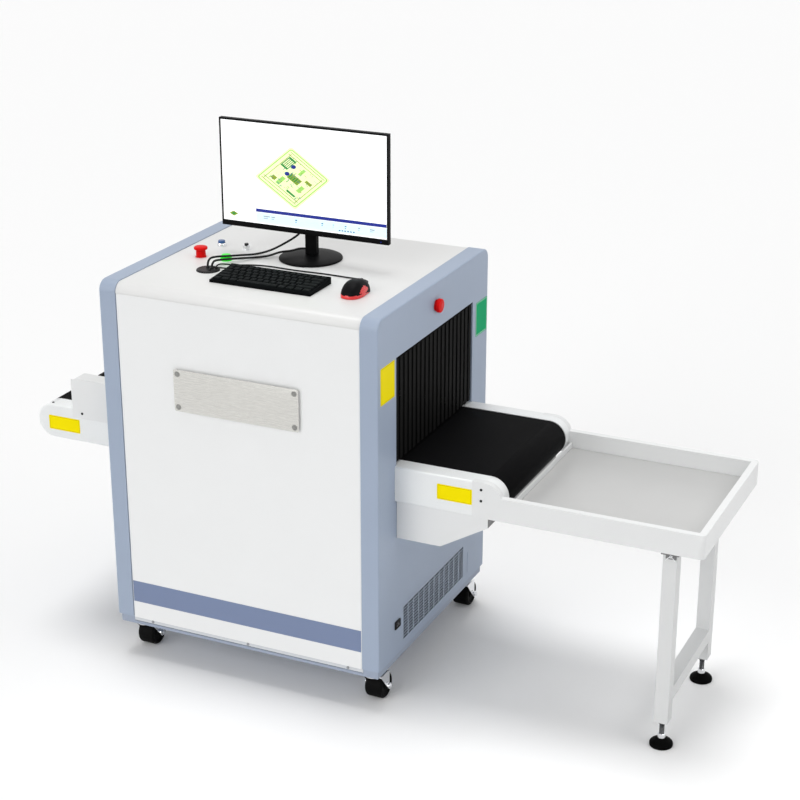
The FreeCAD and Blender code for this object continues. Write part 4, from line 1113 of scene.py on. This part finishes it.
for route, size in ((cords["power"], cords["leadRadius"]), (cords["video"], cords["leadRadius"]),
                    (cords["mouse"], cords["thinRadius"]), (cords["keyboard"], cords["thinRadius"])):
    exitPoint = routePoints(route)[0]
    bootParts.append((turned([(size + 0.0022, -0.0003), (size + 0.0022, 0.0006), (size + 0.0012, 0.0016),
                              (size + 0.0004, 0.0038)], exitPoint, (0, 0, 1), 24), 0))
makePiece("grommet_collars", bootParts, ["switchBlack"], "root")
print("video cable made")

# Power inlet: a flange round a recessed socket with three pins
inletLow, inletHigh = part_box("power_inlet")
inlet = {"rim": 0.0025, "pinWidth": 0.002, "pinHeight": 0.0045}
inletMid = (inletLow + inletHigh) / 2
spanY, spanZ = inletHigh.y - inletLow.y, inletHigh.z - inletLow.z
rimParts = []
for y0, y1, z0, z1 in ((0, inlet["rim"], 0, spanZ), (spanY - inlet["rim"], spanY, 0, spanZ),
                       (inlet["rim"], spanY - inlet["rim"], 0, inlet["rim"]),
                       (inlet["rim"], spanY - inlet["rim"], spanZ - inlet["rim"], spanZ)):
    rimParts.append((block((inletLow.x, inletLow.y + y0 - 0.0001, inletLow.z + z0),
                           (inletHigh.x, inletLow.y + y1 + 0.0001, inletLow.z + z1), 0.0005), 0))
rimParts.append((block((inletLow.x, inletLow.y + 0.001, inletLow.z + 0.001),
                       (inletLow.x + 0.0012, inletHigh.y - 0.001, inletHigh.z - 0.001)), 0))
rimParts.append((block((inletLow.x, inletMid.y - 0.0095, inletMid.z - 0.0060),
                       (inletHigh.x - 0.0008, inletMid.y + 0.0095, inletMid.z + 0.0060), 0.0006), 0))
for y, z in ((0, 0.0025), (-0.0052, -0.0022), (0.0052, -0.0022)):
    rimParts.append((block((inletHigh.x - 0.001, inletMid.y + y - inlet["pinWidth"] / 2,
                            inletMid.z + z - inlet["pinHeight"] / 2),
                           (inletHigh.x - 0.0001, inletMid.y + y + inlet["pinWidth"] / 2,
                            inletMid.z + z + inlet["pinHeight"] / 2), 0.0003), 1))
makePiece("inlet_socket", rimParts, ["switchBlack", "zinc"], "root", ["power_inlet"])

# Casters: moulded wheels with a tread, raceways, axle bolts and the plate screws
caster = {"tread": 0.0022, "hub": 0.020, "bolt": 0.0068, "plateInset": 0.012, "shoulder": 0.008}
plateScrews = []
for end in ("left", "right"):
    for side in ("front", "rear"):
        name = f"{end}_{side}"
        low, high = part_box("caster_wheel_" + name)
        middle = (low + high) / 2
        radius, half = (high.z - low.z) / 2, (high.x - low.x) / 2
        profile = [(0.006, -half + 0.003), (0.0115, -half + 0.0012), (0.013, -half + 0.004),
                   (caster["hub"] + 0.006, -half + 0.004), (caster["hub"] + 0.0085, -half + 0.0004)]
        for k in range(7):
            angle = math.radians(90 * k / 6)
            profile.append((radius - caster["shoulder"] + caster["shoulder"] * math.sin(angle),
                            -half + caster["shoulder"] * (1 - math.cos(angle))))
        profile += [(radius, -0.001)]
        profile += [(r, -h) for r, h in reversed(profile)]
        makePiece("wheel_" + name, [(turned(profile, middle, (1, 0, 0), 56), 0)], ["tyreBlack"],
                  "caster_wheel_" + name, ["caster_wheel_" + name])
        forkLow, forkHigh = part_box("caster_fork_" + name)
        boltParts = []
        for way in (-1, 1):
            face = (forkHigh.x if way > 0 else forkLow.x, middle.y, middle.z)
            boltParts.append((turned([(caster["bolt"] + 0.0025, -0.0002), (caster["bolt"] + 0.0025, 0.0008),
                                      (caster["bolt"], 0.0009, 6), (caster["bolt"], 0.0042, 6),
                                      (caster["bolt"] - 0.0012, 0.005), (0.0003, 0.005)], face, (way, 0, 0), 36), 0))
        makePiece("axle_nuts_" + name, boltParts, ["chrome"], "caster_fork_" + name)
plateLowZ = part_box("caster_plates")[0].z
for x in (-1, 1):
    for y in (-1, 1):
        for dx in (-1, 1):
            for dy in (-1, 1):
                place = local(x * 0.362 + dx * 0.026, y * 0.300 + dy * 0.026, plateLowZ)
                plateScrews.append((domeHead(place, (0, 0, -1), 0.0048, 0.003), 0))
makePiece("caster_plate_screws", plateScrews, ["chrome"], "root")
print("casters made")

# Tray feet: domed discs, threaded stems and hex nuts
feet = {"stem": 0.0068, "thread": 0.0014, "nut": 0.0105, "nutTop": 0.0360, "pitchDrop": 0.0007}
padLow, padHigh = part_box("foot_pads")
stemLow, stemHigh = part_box("foot_stems")
padRadius = 0.031
legX = (padLow.x + padHigh.x) / 2
padParts, stemParts = [], []
for y in (padLow.y + padRadius, padHigh.y - padRadius):
    padParts.append((turned([(padRadius - 0.003, 0), (padRadius - 0.0004, 0.0008), (padRadius, 0.003),
                             (padRadius, 0.0065), (padRadius - 0.001, 0.0095), (padRadius - 0.004, 0.0128),
                             (padRadius - 0.010, 0.0168), (0.016, 0.0196), (0.0135, 0.0215), (0.0128, 0.0225),
                             (0.0003, 0.0225)], (legX, y, 0.0), steps=64), 0))
    nut = [(feet["nut"] - 0.001, 0.0223), (feet["nut"], 0.0231), (feet["nut"], feet["nutTop"] - 0.0010),
           (feet["nut"] - 0.0012, feet["nutTop"]), (feet["stem"] * 0.9, feet["nutTop"])]
    stemParts.append((turned(nut, (legX, y, 0.0), steps=36), 1))
    profile = [(feet["stem"], 0.0223), (feet["stem"], 0.0294)]
    z = 0.0296
    while z < 0.0650:
        profile += [(feet["stem"], z), (feet["stem"] - feet["pitchDrop"], z + feet["thread"] / 2)]
        z += feet["thread"]
    profile += [(feet["stem"], 0.0652), (feet["nut"] - 0.0008, 0.0653), (feet["nut"], 0.0660, 6),
                (feet["nut"], 0.0720, 6), (feet["nut"] - 0.0008, 0.0727), (0.0003, 0.0729)]
    stemParts.append((turned(profile, (legX, y, 0.0), steps=36), 0))
makePiece("foot_discs", padParts, ["footBlack"], "root", ["foot_pads"])
makePiece("foot_threads", stemParts, ["threadSteel", "chrome"], "root", ["foot_stems"])
print("feet made")




# Floor, lamps and world: plain and soft
studio = {"floorSize": 60.0, "floor": 0.93, "floorSeen": 0.04, "world": 0.46, "key": 1.30, "keyTurn": (-3, -5, 0),
          "keyAngle": 24, "fill": 0.92, "fillTurn": (65, 0, -20), "fillAngle": 40,
          "side": 6.0, "sideSize": 0.9, "sidePlace": (2.05, -0.15, 1.75), "sideAim": (0.40, -0.10, 0.95)}
floorMesh = bpy.data.meshes.new("floor")
half = studio["floorSize"] / 2
floorMesh.from_pydata([(-half, -half, 0), (half, -half, 0), (half, half, 0), (-half, half, 0)], [], [(0, 1, 2, 3)])
floor = bpy.data.objects.new("floor", floorMesh)
scene.collection.objects.link(floor)
floorMaterial = bpy.data.materials.new("floor")
floorMaterial.use_nodes = True
floorShader = floorMaterial.node_tree.nodes["Principled BSDF"]
floorShader.inputs["Base Color"].default_value = (studio["floor"],) * 3 + (1.0,)
floorShader.inputs["Roughness"].default_value = 0.9
floorShader.inputs["Specular IOR Level"].default_value = 0.1
floorMesh.materials.append(floorMaterial)
floorShader.inputs["Emission Color"].default_value = (1, 1, 1, 1)


def seenStrength(tree, hidden, seen):
    # One strength for what the camera, gloss and glass look at, another for the light itself
    paths = tree.nodes.new("ShaderNodeLightPath")
    rays = paths.outputs["Is Camera Ray"]
    for kind in ("Is Glossy Ray", "Is Transmission Ray"):
        either = tree.nodes.new("ShaderNodeMath")
        either.operation = "MAXIMUM"
        tree.links.new(rays, either.inputs[0])
        tree.links.new(paths.outputs[kind], either.inputs[1])
        rays = either.outputs["Value"]
    return mapped(tree, rays, hidden, seen, 0.0, 1.0)


floorTree = floorMaterial.node_tree
floorTree.links.new(seenStrength(floorTree, 0.0, studio["floorSeen"]), floorShader.inputs["Emission Strength"])


def lamp(name, strength, turn, angle):
    data = bpy.data.lights.new(name, "SUN")
    data.energy = strength
    data.angle = math.radians(angle)
    sun = bpy.data.objects.new(name, data)
    sun.rotation_euler = [math.radians(t) for t in turn]
    scene.collection.objects.link(sun)


lamp("key", studio["key"], studio["keyTurn"], studio["keyAngle"])
lamp("fill", studio["fill"], studio["fillTurn"], studio["fillAngle"])
sideData = bpy.data.lights.new("side", "AREA")
sideData.energy = studio["side"]
sideData.size = studio["sideSize"]
sideLamp = bpy.data.objects.new("side", sideData)
sideLamp.location = local(*studio["sidePlace"])
sideLamp.rotation_euler = (local(*studio["sideAim"]) - sideLamp.location).to_track_quat("-Z", "Y").to_euler()
sideLamp.visible_camera = False
scene.collection.objects.link(sideLamp)

world = bpy.data.worlds.new("world")
scene.world = world
world.use_nodes = True
worldTree = world.node_tree
background = worldTree.nodes["Background"]
background.inputs["Color"].default_value = (1, 1, 1, 1)
worldTree.links.new(seenStrength(worldTree, studio["world"], 1.0), background.inputs["Strength"])
print("studio set")
